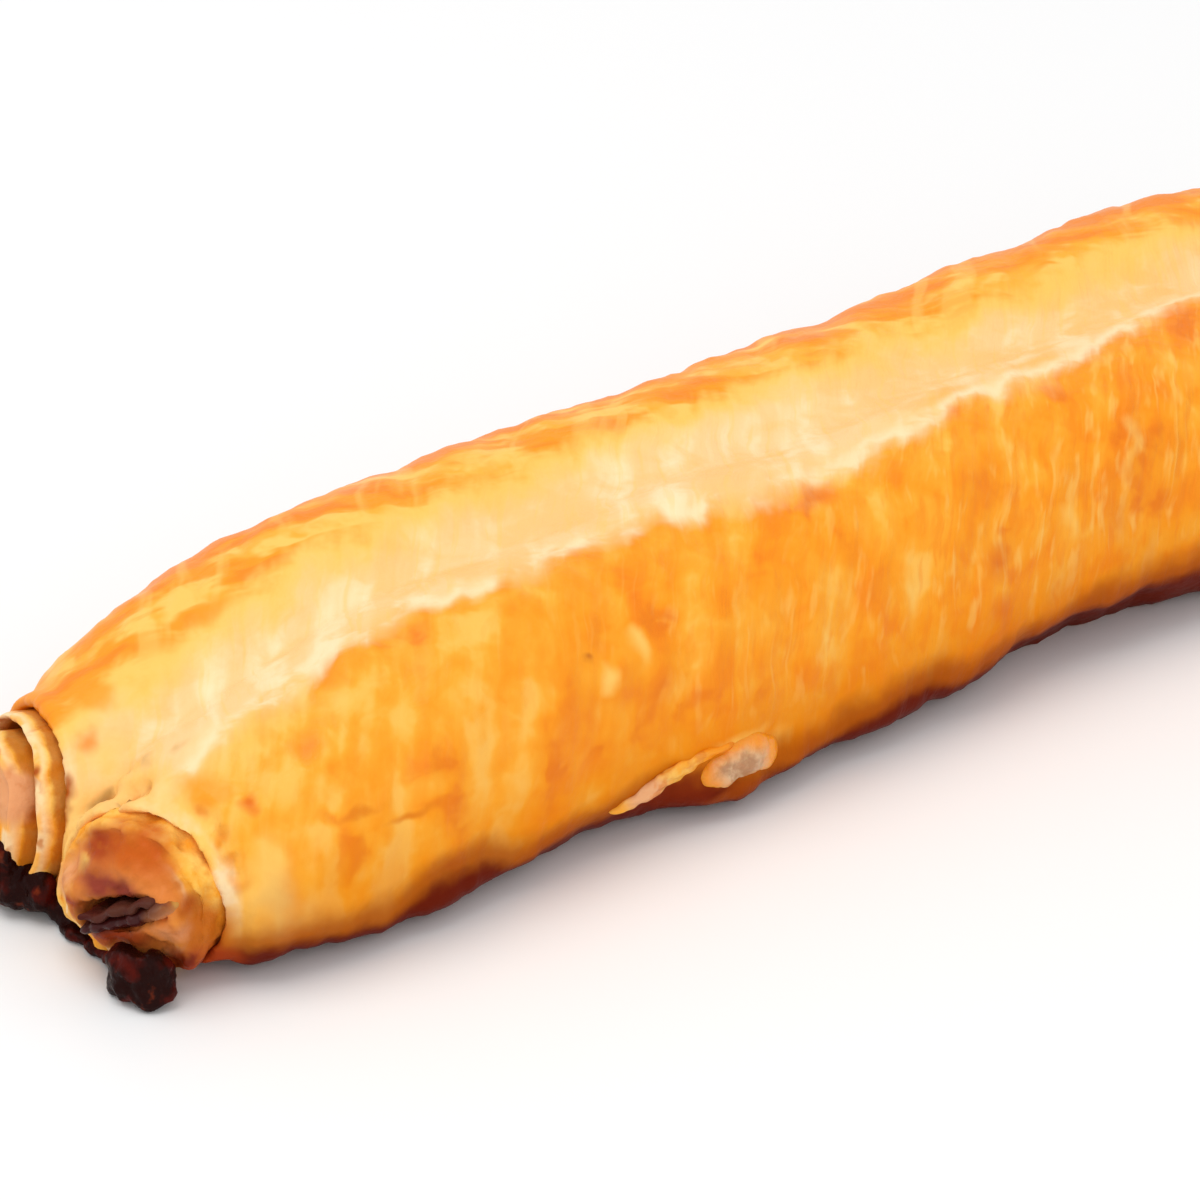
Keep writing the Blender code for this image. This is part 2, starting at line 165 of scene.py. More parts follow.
# Marks on the skin: centre and reach in millimetres, and its share of the full depth.
CREASES = (
    ((-109.8, -7.5, 18.6), 2.2, 0.7), ((-107.8, -7.7, 19.2), 2.4, 0.9),
    ((-106, -8.3, 20), 2.2, 0.6), ((-104, -17.2, 20.3), 2, 0.3),
    ((-103.9, -19, 19.3), 2, 0.4), ((-103.9, -20.5, 18.3), 2, 0.4),
    ((-103.8, -21.6, 17.2), 2, 0.4), ((-103.8, -22.5, 15.9), 2, 0.4),
    ((-103.7, -23.3, 14.4), 2, 0.3), ((-106, -3.5, 15.5), 3.5, 0.8),
    ((-103, -3.2, 16.5), 3.5, 1), ((-100, -3, 18), 3.2, 0.8),
    ((-97, -3.2, 20), 3, 0.6), ((-94, -3.6, 22), 2.8, 0.5),
    ((-91, -4.4, 23.5), 2.6, 0.4), ((-88, -5.4, 24.5), 2.4, 0.3),
)
BLISTERS = (
    ((-51.6, -25.7, 22.7), 4.6, 1), ((-90, -21, 24), 6, 0.7),
    ((-97, -9, 23.8), 5, 0.6), ((-70, -22, 27), 8, 0.6),
    ((-34, -23, 27), 8, 0.7), ((2, -20, 29), 8, 0.7),
    ((40, -21, 27.5), 9, 0.7),
)
# The cheese in the tear and the fold above it, as lumps again.
LEAK_LUMPS = (
    ((-36.6, -28.1, 6.4), (3.6, 1.9, 2.6)), ((-33.4, -28.3, 7.3), (4, 2, 3)),
    ((-31.2, -28, 6.6), (3, 1.9, 2.6)), ((-34.4, -27.8, 5), (3.8, 1.9, 2.2)),
)
TORN_FOLD_LUMPS = (
    ((-50.2, -26.6, 5.4), (2.4, 0.8, 0.6)), ((-47.6, -26.9, 6.2), (3.6, 0.9, 0.8)),
    ((-45.2, -27.2, 7.2), (3.6, 0.9, 0.8)), ((-42.8, -27.6, 8.2), (3.6, 0.9, 0.8)),
    ((-40.4, -28.1, 9.1), (3.6, 0.8, 0.7)), ((-38, -28.4, 9.7), (3.6, 0.8, 0.6)),
)

SECTION_POINTS = 32
STATION_STEP = 8 * MM
TURN_REACH = 14 * MM
CRUST_VOXEL = 0.71 * MM
STREAK_LEAN = (0, 0.1, -0.6)


def mix(first, second, share):
    return first + (second - first) * share


def ease(share):
    share = min(1, max(0, share))
    return share * share * (3 - 2 * share)


def rise_between(value, low, high):
    return ease((value - low) / (high - low))


def spread(low, high, step):
    count = max(1, round(abs(high - low) / step))
    return [mix(low, high, index / count) for index in range(count + 1)]


def rim_distance(x, side):
    return min(x - RIM_X[side, NEAR], RIM_X[side, FAR] - x)


def fullness(x, side):
    shares = []
    for end in (NEAR, FAR):
        inside = end * (RIM_X[side, end] - x)
        shares.append(rise_between(inside, -TAPER_LEFT_AT_RIM * TAPER[end], TAPER[end]))
    return min(shares)


def swelling(x, side):
    height = half_width = 0
    for place, half_length, height_added, half_width_added in SWELLINGS[side]:
        share = ease(1 - abs(x - place) / half_length)
        height += share * height_added
        half_width += share * half_width_added
    return height, half_width


def base_spread(x, side):
    """How far the base reaches beyond that of a plain roll at x."""
    table = BASE_SPREADS[side]
    for (place, added), (to_place, to_added) in zip(table, table[1:]):
        if place <= x <= to_place:
            return mix(added, to_added, ease((x - place) / (to_place - place)))
    return 0


def roll_height(x, side):
    return mix(END_HEIGHT, HEIGHT, fullness(x, side)) + swelling(x, side)[0]


def roll_half_width(x, side):
    return mix(END_HALF_WIDTH, ROLL_HALF_WIDTH, fullness(x, side)) + swelling(x, side)[1]


def roll_middle(x, side):
    y = side * mix(END_OFFSET, ROLL_OFFSET, fullness(x, side))
    return y, WIDEST_AT * roll_height(x, side)


def roll_top(x, side, y):
    middle_y, middle_z = roll_middle(x, side)
    across = min(1, abs(y - middle_y) / roll_half_width(x, side))
    return middle_z + (roll_height(x, side) - middle_z) * math.sqrt(1 - across**2)


def valley_height(x):
    crossing = min(roll_top(x, FRONT, 0), roll_top(x, BACK, 0))
    inside = min(rim_distance(x, FRONT), rim_distance(x, BACK))
    return crossing + mix(-CLEFT_DROP, VALLEY_LIFT, rise_between(inside, CLEFT_LENGTH, VALLEY_FULL_AT))


# Hand tools: each works on what is selected in edit mode.


def nothing_selected():
    bpy.ops.object.select_all(action="DESELECT")


def choose(piece, test):
    """Selects the points that pass a test of their place."""
    bpy.ops.mesh.select_mode(type="VERT")
    bpy.ops.mesh.select_all(action="DESELECT")
    mesh = bmesh.from_edit_mesh(piece.data)
    for point in mesh.verts:
        point.select_set(bool(test(point.co)))
    mesh.select_flush(True)
    bmesh.update_edit_mesh(piece.data)


def at_x(x):
    """A test for the points of one ring or one end."""
    return lambda point: abs(point.x - x) < TINY


def edit():
    bpy.ops.object.mode_set(mode="EDIT")


def keep_place():
    """Puts the active piece's place, turn and size into its mesh."""
    bpy.ops.object.transform_apply(location=True, rotation=True, scale=True)


def push(x=0.0, y=0.0, z=0.0):
    bpy.ops.transform.translate(value=(x, y, z))


def size_about(centre, x=1.0, y=1.0, z=1.0):
    bpy.ops.transform.resize(value=(x, y, z), center_override=centre)


def draw_out(x=0.0, y=0.0, z=0.0):
    bpy.ops.mesh.extrude_region_move(TRANSFORM_OT_translate={"value": (x, y, z)})


def finish_edit():
    """Closes a hand-made piece: doubles merged, faces outward, back in object mode."""
    bpy.ops.mesh.select_all(action="SELECT")
    bpy.ops.mesh.remove_doubles(threshold=0.00001)
    bpy.ops.mesh.normals_make_consistent(inside=False)
    bpy.ops.object.mode_set(mode="OBJECT")


def active(piece):
    nothing_selected()
    piece.select_set(True)
    bpy.context.view_layer.objects.active = piece


def apply(piece, kind, **settings):
    """Adds a modifier with its settings and applies it."""
    active(piece)
    modifier = piece.modifiers.new(kind.lower(), kind)
    for name, value in settings.items():
        setattr(modifier, name, value)
    bpy.ops.object.modifier_apply(modifier=modifier.name)


def smoothed(piece, iterations, group=""):
    apply(piece, "SMOOTH", factor=0.5, iterations=iterations, vertex_group=group)


def rounded(piece):
    apply(piece, "SUBSURF", levels=2, render_levels=2)


def smooth_shaded(piece):
    active(piece)
    bpy.ops.object.shade_smooth()


# Sections of a roll.


def add_section(name, x, side, share):
    """A ring across a roll: round above its widest line, pressed square and flat below it."""
    y, z = roll_middle(x, side)
    radius = share * roll_half_width(x, side)
    rise = share * (roll_height(x, side) - z)
    drop = share * (z + BASE_PRESS)
    nothing_selected()
    bpy.ops.mesh.primitive_circle_add(
        vertices=SECTION_POINTS, radius=radius, location=(x, y, z), rotation=(0, math.pi / 2, 0)
    )
    piece = bpy.context.object
    piece.name = name
    keep_place()
    edit()
    middle = (x, y, z)
    choose(piece, lambda point: point.z > z + TINY)
    size_about(middle, z=rise / radius)
    choose(piece, lambda point: point.z < z - TINY)
    size_about(middle, z=drop / radius)
    for step in range(SECTION_POINTS // 4, 0, -1):
        angle = math.tau * step / SECTION_POINTS
        level = z - drop * math.sin(angle)
        choose(piece, lambda point: abs(point.z - level) < TINY)
        if step < SECTION_POINTS // 4:
            size_about(middle, y=math.cos(angle) ** (BASE_SQUARENESS - 1))
        push(z=drop * (math.sin(angle) - math.sin(angle) ** BASE_SQUARENESS))
    bpy.ops.mesh.select_all(action="SELECT")
    return piece


def next_section(side, x, share, to_x, to_share):
    """Draws the selected ring out to the next place along the roll and fits it there."""
    y, z = roll_middle(x, side)
    to_y, to_z = roll_middle(to_x, side)
    draw_out(to_x - x, to_y - y, to_z - z)
    size_about(
        (to_x, to_y, to_z),
        y=to_share * roll_half_width(to_x, side) / (share * roll_half_width(x, side)),
        z=to_share * roll_height(to_x, side) / (share * roll_height(x, side)),
    )


def ring_inward(side, end, x_step, shrink):
    """Draws the selected end ring along X and resizes it about the middle of the rim."""
    rim = RIM_X[side, end]
    y, z = roll_middle(rim, side)
    draw_out(end * x_step)
    size_about((rim, y, z), y=shrink, z=shrink)


def shoulder_share(x, side):
    return mix(1, RIM_SHARE, max(0, 1 - rim_distance(x, side) / SHOULDER) ** 2)


def turn(side, end, turns, **soft):
    """Turns what is selected about Z and Y, as the end of the roll is turned."""
    rim = RIM_X[side, end]
    y, _ = roll_middle(rim, side)
    angle, pivot, lean = turns[side, end]
    middle = (rim, y + side * pivot, roll_height(rim, side))
    bpy.ops.transform.rotate(value=-math.radians(angle), orient_axis="Z", center_override=middle, **soft)
    if lean:
        bpy.ops.transform.rotate(
            value=end * math.radians(lean), orient_axis="Y", center_override=middle, **soft
        )


def turn_end(piece, side, end, turns):
    """Turns the open end of a roll a little, so that it isn't cut off square."""
    rim = RIM_X[side, end]
    choose(piece, lambda point: end * point.x > end * rim - 0.5 * MM)
    turn(
        side,
        end,
        turns,
        use_proportional_edit=True,
        proportional_edit_falloff="SMOOTH",
        proportional_size=TURN_REACH,
    )


def outer_skin(side):
    """One roll's outer layer, closed, with a rolled lip and a hollow at each end."""
    near, far = RIM_X[side, NEAR], RIM_X[side, FAR]
    places = spread(near + SHOULDER, far - SHOULDER, STATION_STEP)
    shares = [shoulder_share(x, side) for x in places]
    for inside, lip_share in ROLLED_LIP:
        places.append(far - inside)
        shares.append(lip_share * shoulder_share(far - inside, side))
    for inside, lip_share in MELTED_LIP if (side, NEAR) == MELTED_END else ROLLED_LIP:
        places.insert(0, near + inside)
        shares.insert(0, lip_share * shoulder_share(near + inside, side))
    piece = add_section("crust_" + SIDE_NAMES[side], places[0], side, shares[0])
    for x, share, to_x, to_share in zip(places, shares, places[1:], shares[1:]):
        next_section(side, x, share, to_x, to_share)
    for end, x in ((FAR, places[-1]), (NEAR, places[0])):
        choose(piece, at_x(x))
        for x_step, shrink in LIP_RINGS:
            ring_inward(side, end, x_step, shrink)
        bpy.ops.mesh.edge_face_add()
        turn_end(piece, side, end, SKIN_TURN)
    for x in places:
        y, z = roll_middle(x, side)
        corner = y + side * 0.5 * roll_half_width(x, side)
        ring = at_x(x)
        choose(piece, lambda point: ring(point) and point.z < 0.4 * z and side * point.y > side * corner)
        push(y=side * base_spread(x, side))
    finish_edit()
    rounded(piece)
    return piece


def web():
    """The dough that joins the rolls, with the pale valley as its top."""
    low = max(RIM_X[FRONT, NEAR], RIM_X[BACK, NEAR]) + CLEFT_LENGTH
    high = min(RIM_X[FRONT, FAR], RIM_X[BACK, FAR]) - CLEFT_LENGTH
    top = valley_height(low)
    places = spread(low, high, STATION_STEP)
    length = places[1] - low
    nothing_selected()
    bpy.ops.mesh.primitive_cube_add(
        size=1,
        location=(low + length / 2, 0, (WEB_BASE + top) / 2),
        scale=(length, 2 * WEB_HALF_WIDTH, top - WEB_BASE),
    )
    piece = bpy.context.object
    piece.name = "crust_web"
    keep_place()
    edit()
    for y in (-WEB_HALF_WIDTH / 2, 0, WEB_HALF_WIDTH / 2):
        bpy.ops.mesh.select_all(action="SELECT")
        bpy.ops.mesh.bisect(plane_co=(0, y, 0), plane_no=(0, 1, 0))
    for share, rise in ((0.5, 0.25 * WEB_RISE), (1.0, WEB_RISE)):
        beside = share * WEB_HALF_WIDTH
        choose(piece, lambda point: point.z > WEB_BASE + MM and abs(abs(point.y) - beside) < TINY)
        push(z=rise)
    for x, to_x in zip(places[1:], places[2:]):
        choose(piece, at_x(x))
        draw_out(to_x - x)
    for x in places[1:]:
        ring = at_x(x)
        choose(piece, lambda point: ring(point) and point.z > WEB_BASE + MM)
        push(z=valley_height(x) - top)
    finish_edit()
    return piece


def joined(name, pieces):
    nothing_selected()
    for piece in pieces:
        piece.select_set(True)
    bpy.context.view_layer.objects.active = pieces[0]
    bpy.ops.object.join()
    pieces[0].name = name
    return pieces[0]


def relief(
    piece, name, size, depth, group="", stretch=(1, 1, 1), lean=(0, 0, 0), kind="CLOUDS", direction="NORMAL"
):
    """Raises and lowers the skin by a cloudy pattern, which may be stretched and leant."""
    texture = bpy.data.textures.new(name, kind)
    texture.noise_scale = 1.0
    if kind == "CLOUDS":
        texture.noise_depth = 2
    nothing_selected()
    bpy.ops.object.empty_add(location=(0, 0, 0), rotation=lean)
    guide = bpy.context.object
    guide.scale = [size * part for part in stretch]
    bpy.context.view_layer.update()
    apply(
        piece,
        "DISPLACE",
        texture=texture,
        texture_coords="OBJECT",
        texture_coords_object=guide,
        strength=depth,
        mid_level=0.5,
        vertex_group=group,
        direction=direction,
    )
    bpy.data.objects.remove(guide)
    bpy.data.textures.remove(texture)


def weigh(piece, name, weight):
    """A vertex group whose weight follows from each point's place."""
    group = piece.vertex_groups.new(name=name)
    for point in piece.data.vertices:
        group.add([point.index], min(1, max(0, weight(point.co))), "REPLACE")
    return name


def pressed_flat(piece):
    """Nothing hangs below the surface that the pastry rests on."""
    active(piece)
    edit()
    choose(piece, lambda point: point.z < 0)
    size_about((0, 0, 0), z=0)
    bpy.ops.object.mode_set(mode="OBJECT")


def marked(piece, name, places, depth):
    """Raises or sinks the skin round each place, by its share of the depth."""

    def weight(point):
        shares = [0]
        for centre, reach, share in places:
            far = (point / MM - Vector(centre)).length
            shares.append(share * ease(1 - far / reach))
        return max(shares)

    group = weigh(piece, name, weight)
    apply(piece, "DISPLACE", strength=depth, mid_level=0, vertex_group=group)


def slid_layers(side, end):
    """The second and the innermost layer of one end as a piece of their own; at the melted end only the
    innermost.
    """
    name = f"layers_{SIDE_NAMES[side]}_{END_NAMES[end]}"
    if (side, end) == MELTED_END:
        piece = inner_layer(side, end, 1)
        piece.name = name
        relief(piece, "melted lumps", 3.6 * MM, 2.6 * MM)
    else:
        piece = joined(name, [inner_layer(side, end, 0), inner_layer(side, end, 1)])
    relief(piece, "ragged lips", 5 * MM, 1.6 * MM, direction="X")
    relief(piece, "layer folds", 3 * MM, 0.7 * MM, stretch=(2.5, 1, 1))
    keep_relief(piece, "proud", 12)
    smooth_shaded(piece)
    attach(piece, BODY)
    return piece


def keep_relief(piece, name, iterations):
    """Records how far each point stands proud of the smoothed skin, for the finish to read."""
    active(piece)
    bpy.ops.object.duplicate()
    even_piece = bpy.context.object
    smoothed(even_piece, iterations)
    count = len(piece.data.vertices)
    rough, even, normals = (np.empty(3 * count) for _ in range(3))
    piece.data.vertices.foreach_get("co", rough)
    even_piece.data.vertices.foreach_get("co", even)
    even_piece.data.vertices.foreach_get("normal", normals)
    proud = ((rough - even) * normals).reshape(count, 3).sum(axis=1) / MM
    attribute = piece.data.attributes.new(name, "FLOAT", "POINT")
    attribute.data.foreach_set("value", proud.astype(np.float32))
    bpy.data.objects.remove(even_piece)


def keep_inset(piece):
    """Records how far behind the melted end's pale lip each point of that lip is, in millimetres."""
    side, end = MELTED_END
    rim, out = RIM_X[MELTED_END], LAYERS_OUT[MELTED_END][0]
    outer, inner = LAYER_SHARES[MELTED_END][0]
    y, z = roll_middle(rim, side)
    angle, pivot, lean = LAYER_TURN[MELTED_END]
    middle = Vector((rim, y + side * pivot, roll_height(rim, side)))
    back = Matrix.Rotation(-math.radians(angle), 3, "Z")
    back = back @ Matrix.Rotation(end * math.radians(lean), 3, "Y")
    insets = []
    for point in piece.data.vertices:
        inset = NO_LIP
        if end * point.co.x > end * rim - 8 * MM and side * point.co.y > -2 * MM:
            straight = back @ (point.co - middle) + middle
            across = abs(straight.y - y) / roll_half_width(rim, side)
            if straight.z > z:
                share = math.hypot(across, (straight.z - z) / (roll_height(rim, side) - z))
            else:
                down = outer * (z - straight.z) / (z - LAYER_CLEARANCE)
                power = 2 / BASE_SQUARENESS
                share = (across**power + down**power) ** (1 / power)
            outside = max(0, share - outer, inner - share) * roll_half_width(rim, side)
            inset = (out - end * (straight.x - rim) + 2 * outside) / MM
        insets.append(inset)
    attribute = piece.data.attributes.new("inset", "FLOAT", "POINT")
    attribute.data.foreach_set("value", insets)


def fold_share(point):
    """How strongly the folds show at a point: little in the valley, less on the back roll."""
    full = 0.7 if point.y > 0 else 1
    return mix(0.3, full, rise_between(abs(point.y), 8 * MM, 15 * MM))


def inside_share(point):
    """1 between the rims and 0 at them."""
    return rise_between(abs(point.x), 104 * MM, 96 * MM)


def valley_share(point):
    """1 on top of the web, less on the rolls beside it and toward the rims."""
    across = rise_between(abs(point.y), 10 * MM, 4 * MM)
    return across * rise_between(abs(point.x), 104 * MM, 92 * MM) * rise_between(point.z, 8 * MM, 14 * MM)


def melted_share(point):
    """1 on the skin of the melted end."""
    return rise_between(point.x, -100 * MM, -105 * MM) * rise_between(point.y, 0, -4 * MM)


def crust():
    """All the dough as one skin: the rolls, the web between them and the second layer at the melted end."""
    parts = [outer_skin(FRONT), outer_skin(BACK), web(), inner_layer(*MELTED_END, 0)]
    piece = joined("crust", parts)
    apply(piece, "REMESH", mode="VOXEL", voxel_size=CRUST_VOXEL)
    smoothed(piece, 2)
    inside = weigh(piece, "inside the rims", inside_share)
    smoothed(piece, 10, inside)
    valley = weigh(piece, "valley", valley_share)
    smoothed(piece, 50, valley)
    flanks = weigh(piece, "flanks", fold_share)
    relief(piece, "slow swells", 13 * MM, 1.4 * MM)
    puffed = {"stretch": (1, 4, 4), "lean": STREAK_LEAN, "kind": "VORONOI"}
    relief(piece, "puffed folds", 7.5 * MM, -1.3 * MM, flanks, **puffed)
    relief(piece, "stretch folds", 2.4 * MM, 0.8 * MM, flanks, stretch=(1, 7, 7), lean=STREAK_LEAN)
    melted = weigh(piece, "melted", melted_share)
    smoothed(piece, 8, melted)
    relief(piece, "melted lumps", 3.6 * MM, 1.8 * MM, melted)
    marked(piece, "creases", CREASES, -2.4 * MM)
    marked(piece, "blisters", BLISTERS, 0.9 * MM)
    pressed_flat(piece)
    keep_relief(piece, "proud", 30)
    keep_inset(piece)
    smooth_shaded(piece)
    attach(piece, BODY)
    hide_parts("pastry")
    return piece


def mouth(side, end, share):
    """Draws the innermost ring, of that share of the roll, in to the mouth and hollows it."""
    rim = RIM_X[side, end]
    y, z = roll_middle(rim, side)
    across, up = MOUTH_SHIFT[side, end]
    width = MOUTH_HALF_WIDTH / (share * roll_half_width(rim, side))
    height = MOUTH_HALF_HEIGHT[side, end] / (share * roll_height(rim, side) / 2)
    steps = MOUTH_BULGE[side, end]
    for bulge in steps:
        y, z = y + across / len(steps), z + up / len(steps)
        draw_out(end * bulge, across / len(steps), up / len(steps))
        size_about((rim, y, z), y=width ** (1 / len(steps)), z=height ** (1 / len(steps)))
        bpy.ops.transform.rotate(
            value=-side * MOUTH_TILT / len(steps), orient_axis="X", center_override=(rim, y, z)
        )
    draw_out(-end * MOUTH_EDGE)
    size_about((rim, y, z), y=0.95, z=0.9)
    draw_out(-end * MOUTH_DEPTH)
    bpy.ops.mesh.edge_face_add()


def inner_layer(side, end, index):
    """A thinner layer of dough that slides out of the one round it, with a soft rolled lip."""
    rim, out = RIM_X[side, end], LAYERS_OUT[side, end][index]
    outer, inner = LAYER_SHARES[side, end][index]
    innermost = index == 1
    piece = add_section("layer", rim, side, outer)
    push(x=-end * LAYER_ROOT)
    if innermost:
        bpy.ops.mesh.edge_face_add()
    for _ in range(3):
        draw_out(end * (LAYER_ROOT + out - LIP) / 3)
    crown = (outer + inner) / 2
    before, after = mix(outer, crown, 0.5), mix(crown, inner, 0.7)
    ring_inward(side, end, 0.8 * LIP, before / outer)
    ring_inward(side, end, 0.2 * LIP, crown / before)
    ring_inward(side, end, -0.2 * LIP, after / crown)
    if innermost:
        mouth(side, end, after)
    else:
        ring_inward(side, end, -0.8 * LIP, inner / after)
        ring_inward(side, end, -LAYER_ROOT - out + 2 * MM, 1.0)
        choose(piece, lambda point: end * point.x < end * rim - LAYER_ROOT + 3 * MM)
        bpy.ops.mesh.bridge_edge_loops()
    y, z = roll_middle(rim, side)
    choose(piece, lambda point: point.z < z - TINY)
    size_about((rim, y, z), z=(z - LAYER_CLEARANCE) / (outer * (z + BASE_PRESS)))
    mesh = bmesh.from_edit_mesh(piece.data)
    inset = mesh.verts.layers.float.new("inset")
    unrolled = MELTED_INSET if (side, end) == MELTED_END and innermost else 0
    for point in mesh.verts:
        point[inset] = (out - end * (point.co.x - rim)) / MM + unrolled
    bmesh.update_edit_mesh(piece.data)
    turn_end(piece, side, end, LAYER_TURN)
    finish_edit()
    rounded(piece)
    return piece


# Finishes. Colours are given as they look on a screen, 0 to 255.

CREAM = (250, 204, 140)
PALE_CREAM = (252, 224, 176)
PEACH = (250, 192, 112)
STRAW = (252, 196, 92)
GOLD = (252, 172, 46)
ORANGE = (249, 152, 16)
DEEP_ORANGE = (243, 132, 8)
RUST = (226, 108, 4)
AMBER = (224, 122, 4)
TOAST = (160, 70, 10)
BURNT_ORANGE = (172, 80, 10)
DARK_TOAST = (104, 28, 8)
CRUMB = (214, 136, 84)
SCORCHED_ORANGE = (200, 92, 20)
TOASTED = (220, 128, 58)
BRICK = (166, 62, 22)
DARK_BRICK = (122, 38, 12)
PINK_TAN = (230, 158, 106)
PALE_GOLD = (253, 200, 100)
ROSE_CREAM = (240, 176, 122)
OLIVE_BROWN = (150, 108, 40)
BEIGE = (216, 168, 100)
AMBER_BROWN = (196, 104, 22)
CHAR = (34, 8, 5)
GARNET = (78, 16, 8)
SCORCHED = (140, 52, 20)
HAM_PINK = (226, 150, 118)
HAM_TAN = (228, 160, 108)
HAM_BROWN = (170, 78, 46)
HAM_PURPLE = (146, 60, 42)
HAM_DARK = (62, 16, 14)
MILKY = (222, 184, 140)
CLOUDY = (184, 132, 88)


def tint(red, green, blue):
    """A screen colour as the amounts of light that the nodes take."""
    parts = [value / 255 for value in (red, green, blue)]
    parts = [part / 12.92 if part <= 0.04045 else ((part + 0.055) / 1.055) ** 2.4 for part in parts]
    return (*parts, 1)


class Finish:
    """Lays out the nodes of one material, with places in millimetres on the pastry."""

    def __init__(self, name, roughness, shine):
        self.material = bpy.data.materials.new(name)
        self.material.use_nodes = True
        self.tree = self.material.node_tree
        self.shader = self.tree.nodes["Principled BSDF"]
        self.wear(Roughness=roughness, Specular_IOR_Level=shine)
        here = self.node("TexCoord").outputs["Object"]
        self.place = self.mapped(here, scale=(1 / MM, 1 / MM, 1 / MM))
        self.x, self.y, self.z = self.node("SeparateXYZ", {0: self.place}).outputs
        self.coat = None

    def node(self, kind, inputs=None, **settings):
        node = self.tree.nodes.new("ShaderNode" + kind)
        for name, value in settings.items():
            setattr(node, name, value)
        for socket, value in (inputs or {}).items():
            self.feed(node.inputs[socket], value)
        return node

    def feed(self, socket, value):
        if isinstance(value, bpy.types.NodeSocket):
            self.tree.links.new(value, socket)
        else:
            socket.default_value = value

    def wear(self, **sockets):
        """Feeds the shader itself."""
        for name, value in sockets.items():
            self.feed(self.shader.inputs[name.replace("_", " ")], value)

    def done(self, height, depth):
        """The material, wearing its coat and a relief."""
        self.wear(Base_Color=self.coat, Normal=self.bump(height, depth))
        return self.material

    def read(self, name):
        """What was recorded at each point of the mesh."""
        return self.node("Attribute", attribute_name=name).outputs["Fac"]

    def mapped(self, vector, location=(0, 0, 0), rotation=(0, 0, 0), scale=(1, 1, 1)):
        inputs = {"Vector": vector, "Location": location, "Rotation": rotation, "Scale": scale}
        return self.node("Mapping", inputs).outputs["Vector"]

    def together(self, x, y, z):
        return self.node("CombineXYZ", {0: x, 1: y, 2: z}).outputs[0]

    def maths(self, operation, first, second=0.0, third=0.0):
        inputs = {0: first, 1: second, 2: third}
        return self.node("Math", inputs, operation=operation).outputs[0]

    def sum_of(self, *values):
        total = values[0]
        for value in values[1:]:
            total = self.maths("ADD", total, value)
        return total

    def less(self, first, second):
        return self.maths("SUBTRACT", first, second)

    def times(self, first, second):
        return self.maths("MULTIPLY", first, second)

    def scaled(self, value, factor, added):
        return self.maths("MULTIPLY_ADD", value, factor, added)

    def between(self, value, low, high, most=1.0):
        """0 at low, most at high, and a smooth change between them, whichever is the larger."""
        inputs = {"Value": value, "From Min": low, "From Max": high, "To Max": most}
        node = self.node("MapRange", inputs, interpolation_type="SMOOTHSTEP", clamp=True)
        return node.outputs["Result"]

    def noise(self, vector, size, detail=2.0, roughness=0.5, output="Fac"):
        inputs = {"Vector": vector, "Scale": 1 / size, "Detail": detail, "Roughness": roughness}
        return self.node("TexNoise", inputs).outputs[output]

    def swing(self, noise, reach):
        """A noise turned into a shift of up to about reach either way."""
        return self.scaled(noise, 2 * reach, -reach)

    def wander(self, size, reach):
        """The place, shifted by up to about reach in a slowly changing direction."""
        cloud = self.noise(self.place, size, output="Color")
        inputs = {0: cloud, 1: (2 * reach,) * 3, 2: (-reach,) * 3}
        shift = self.node("VectorMath", inputs, operation="MULTIPLY_ADD").outputs[0]
        return self.node("VectorMath", {0: self.place, 1: shift}, operation="ADD").outputs[0]

    def spot(self, vector, centre, radii, soft, most=1.0):
        """An egg-shaped spot: most inside, fading to 0 at its edge."""
        inputs = {"Vector": vector, "Location": centre, "Scale": radii}
        moved = self.node("Mapping", inputs, vector_type="TEXTURE").outputs["Vector"]
        far = self.node("VectorMath", {0: moved}, operation="LENGTH").outputs["Value"]
        return self.between(far, 1.0, 1.0 - soft, most)

    def drawn_line(self, table, low, high):
        """A line drawn along the pastry: its table's values, which lie from low to high."""
        length = 2 * HALF_LENGTH
        points = [((x + length / 2) / length, (value - low) / (high - low)) for x, value in table]
        node = self.node("FloatCurve", {"Value": self.scaled(self.x, 1 / length, 0.5)})
        line = node.mapping.curves[0]
        line.points[0].location = points[0]
        line.points[1].location = points[-1]
        for place in points[1:-1]:
            line.points.new(*place)
        node.mapping.update()
        return self.scaled(node.outputs["Value"], high - low, low)

    def blend(self, share, first, second):
        inputs = {0: share, 6: self.colour(first), 7: self.colour(second)}
        return self.node("Mix", inputs, data_type="RGBA").outputs[2]

    def lay(self, shade, share):
        """Lays a shade over the coat, by its share at each place."""
        self.coat = self.blend(share, self.coat, shade)

    def blotched(self, shade, size, low, high, most=1.0):
        """Lays a shade over the coat in cloudy blotches."""
        self.lay(shade, self.between(self.noise(self.place, size, 3), low, high, most))

    def colour(self, value):
        return value if isinstance(value, bpy.types.NodeSocket) else tint(*value)

    def bump(self, height, depth, under=None):
        """A relief of the given depth in millimetres."""
        inputs = {"Height": height, "Strength": 1.0, "Distance": depth * MM}
        if under is not None:
            inputs["Normal"] = under
        return self.node("Bump", inputs).outputs["Normal"]


HALF_LENGTH = 116
# Where the pale top of the dough gives way to the orange front: (place along the pastry, across it).
FRONT_EDGE = (
    (-116, -13), (-100, -12.6), (-90, -12), (-80, -10.6), (-70, -12), (-60, -12.8), (-54, -13),
    (-47, -11.2), (-38, -12.8), (-28, -14.6), (-17, -15.4), (-4, -14.2), (8, -13.4), (20, -13.2),
    (30, -12.2), (42, -9.4), (56, -7), (72, -9.5), (88, -11.5), (100, -12.5), (116, -13),
)
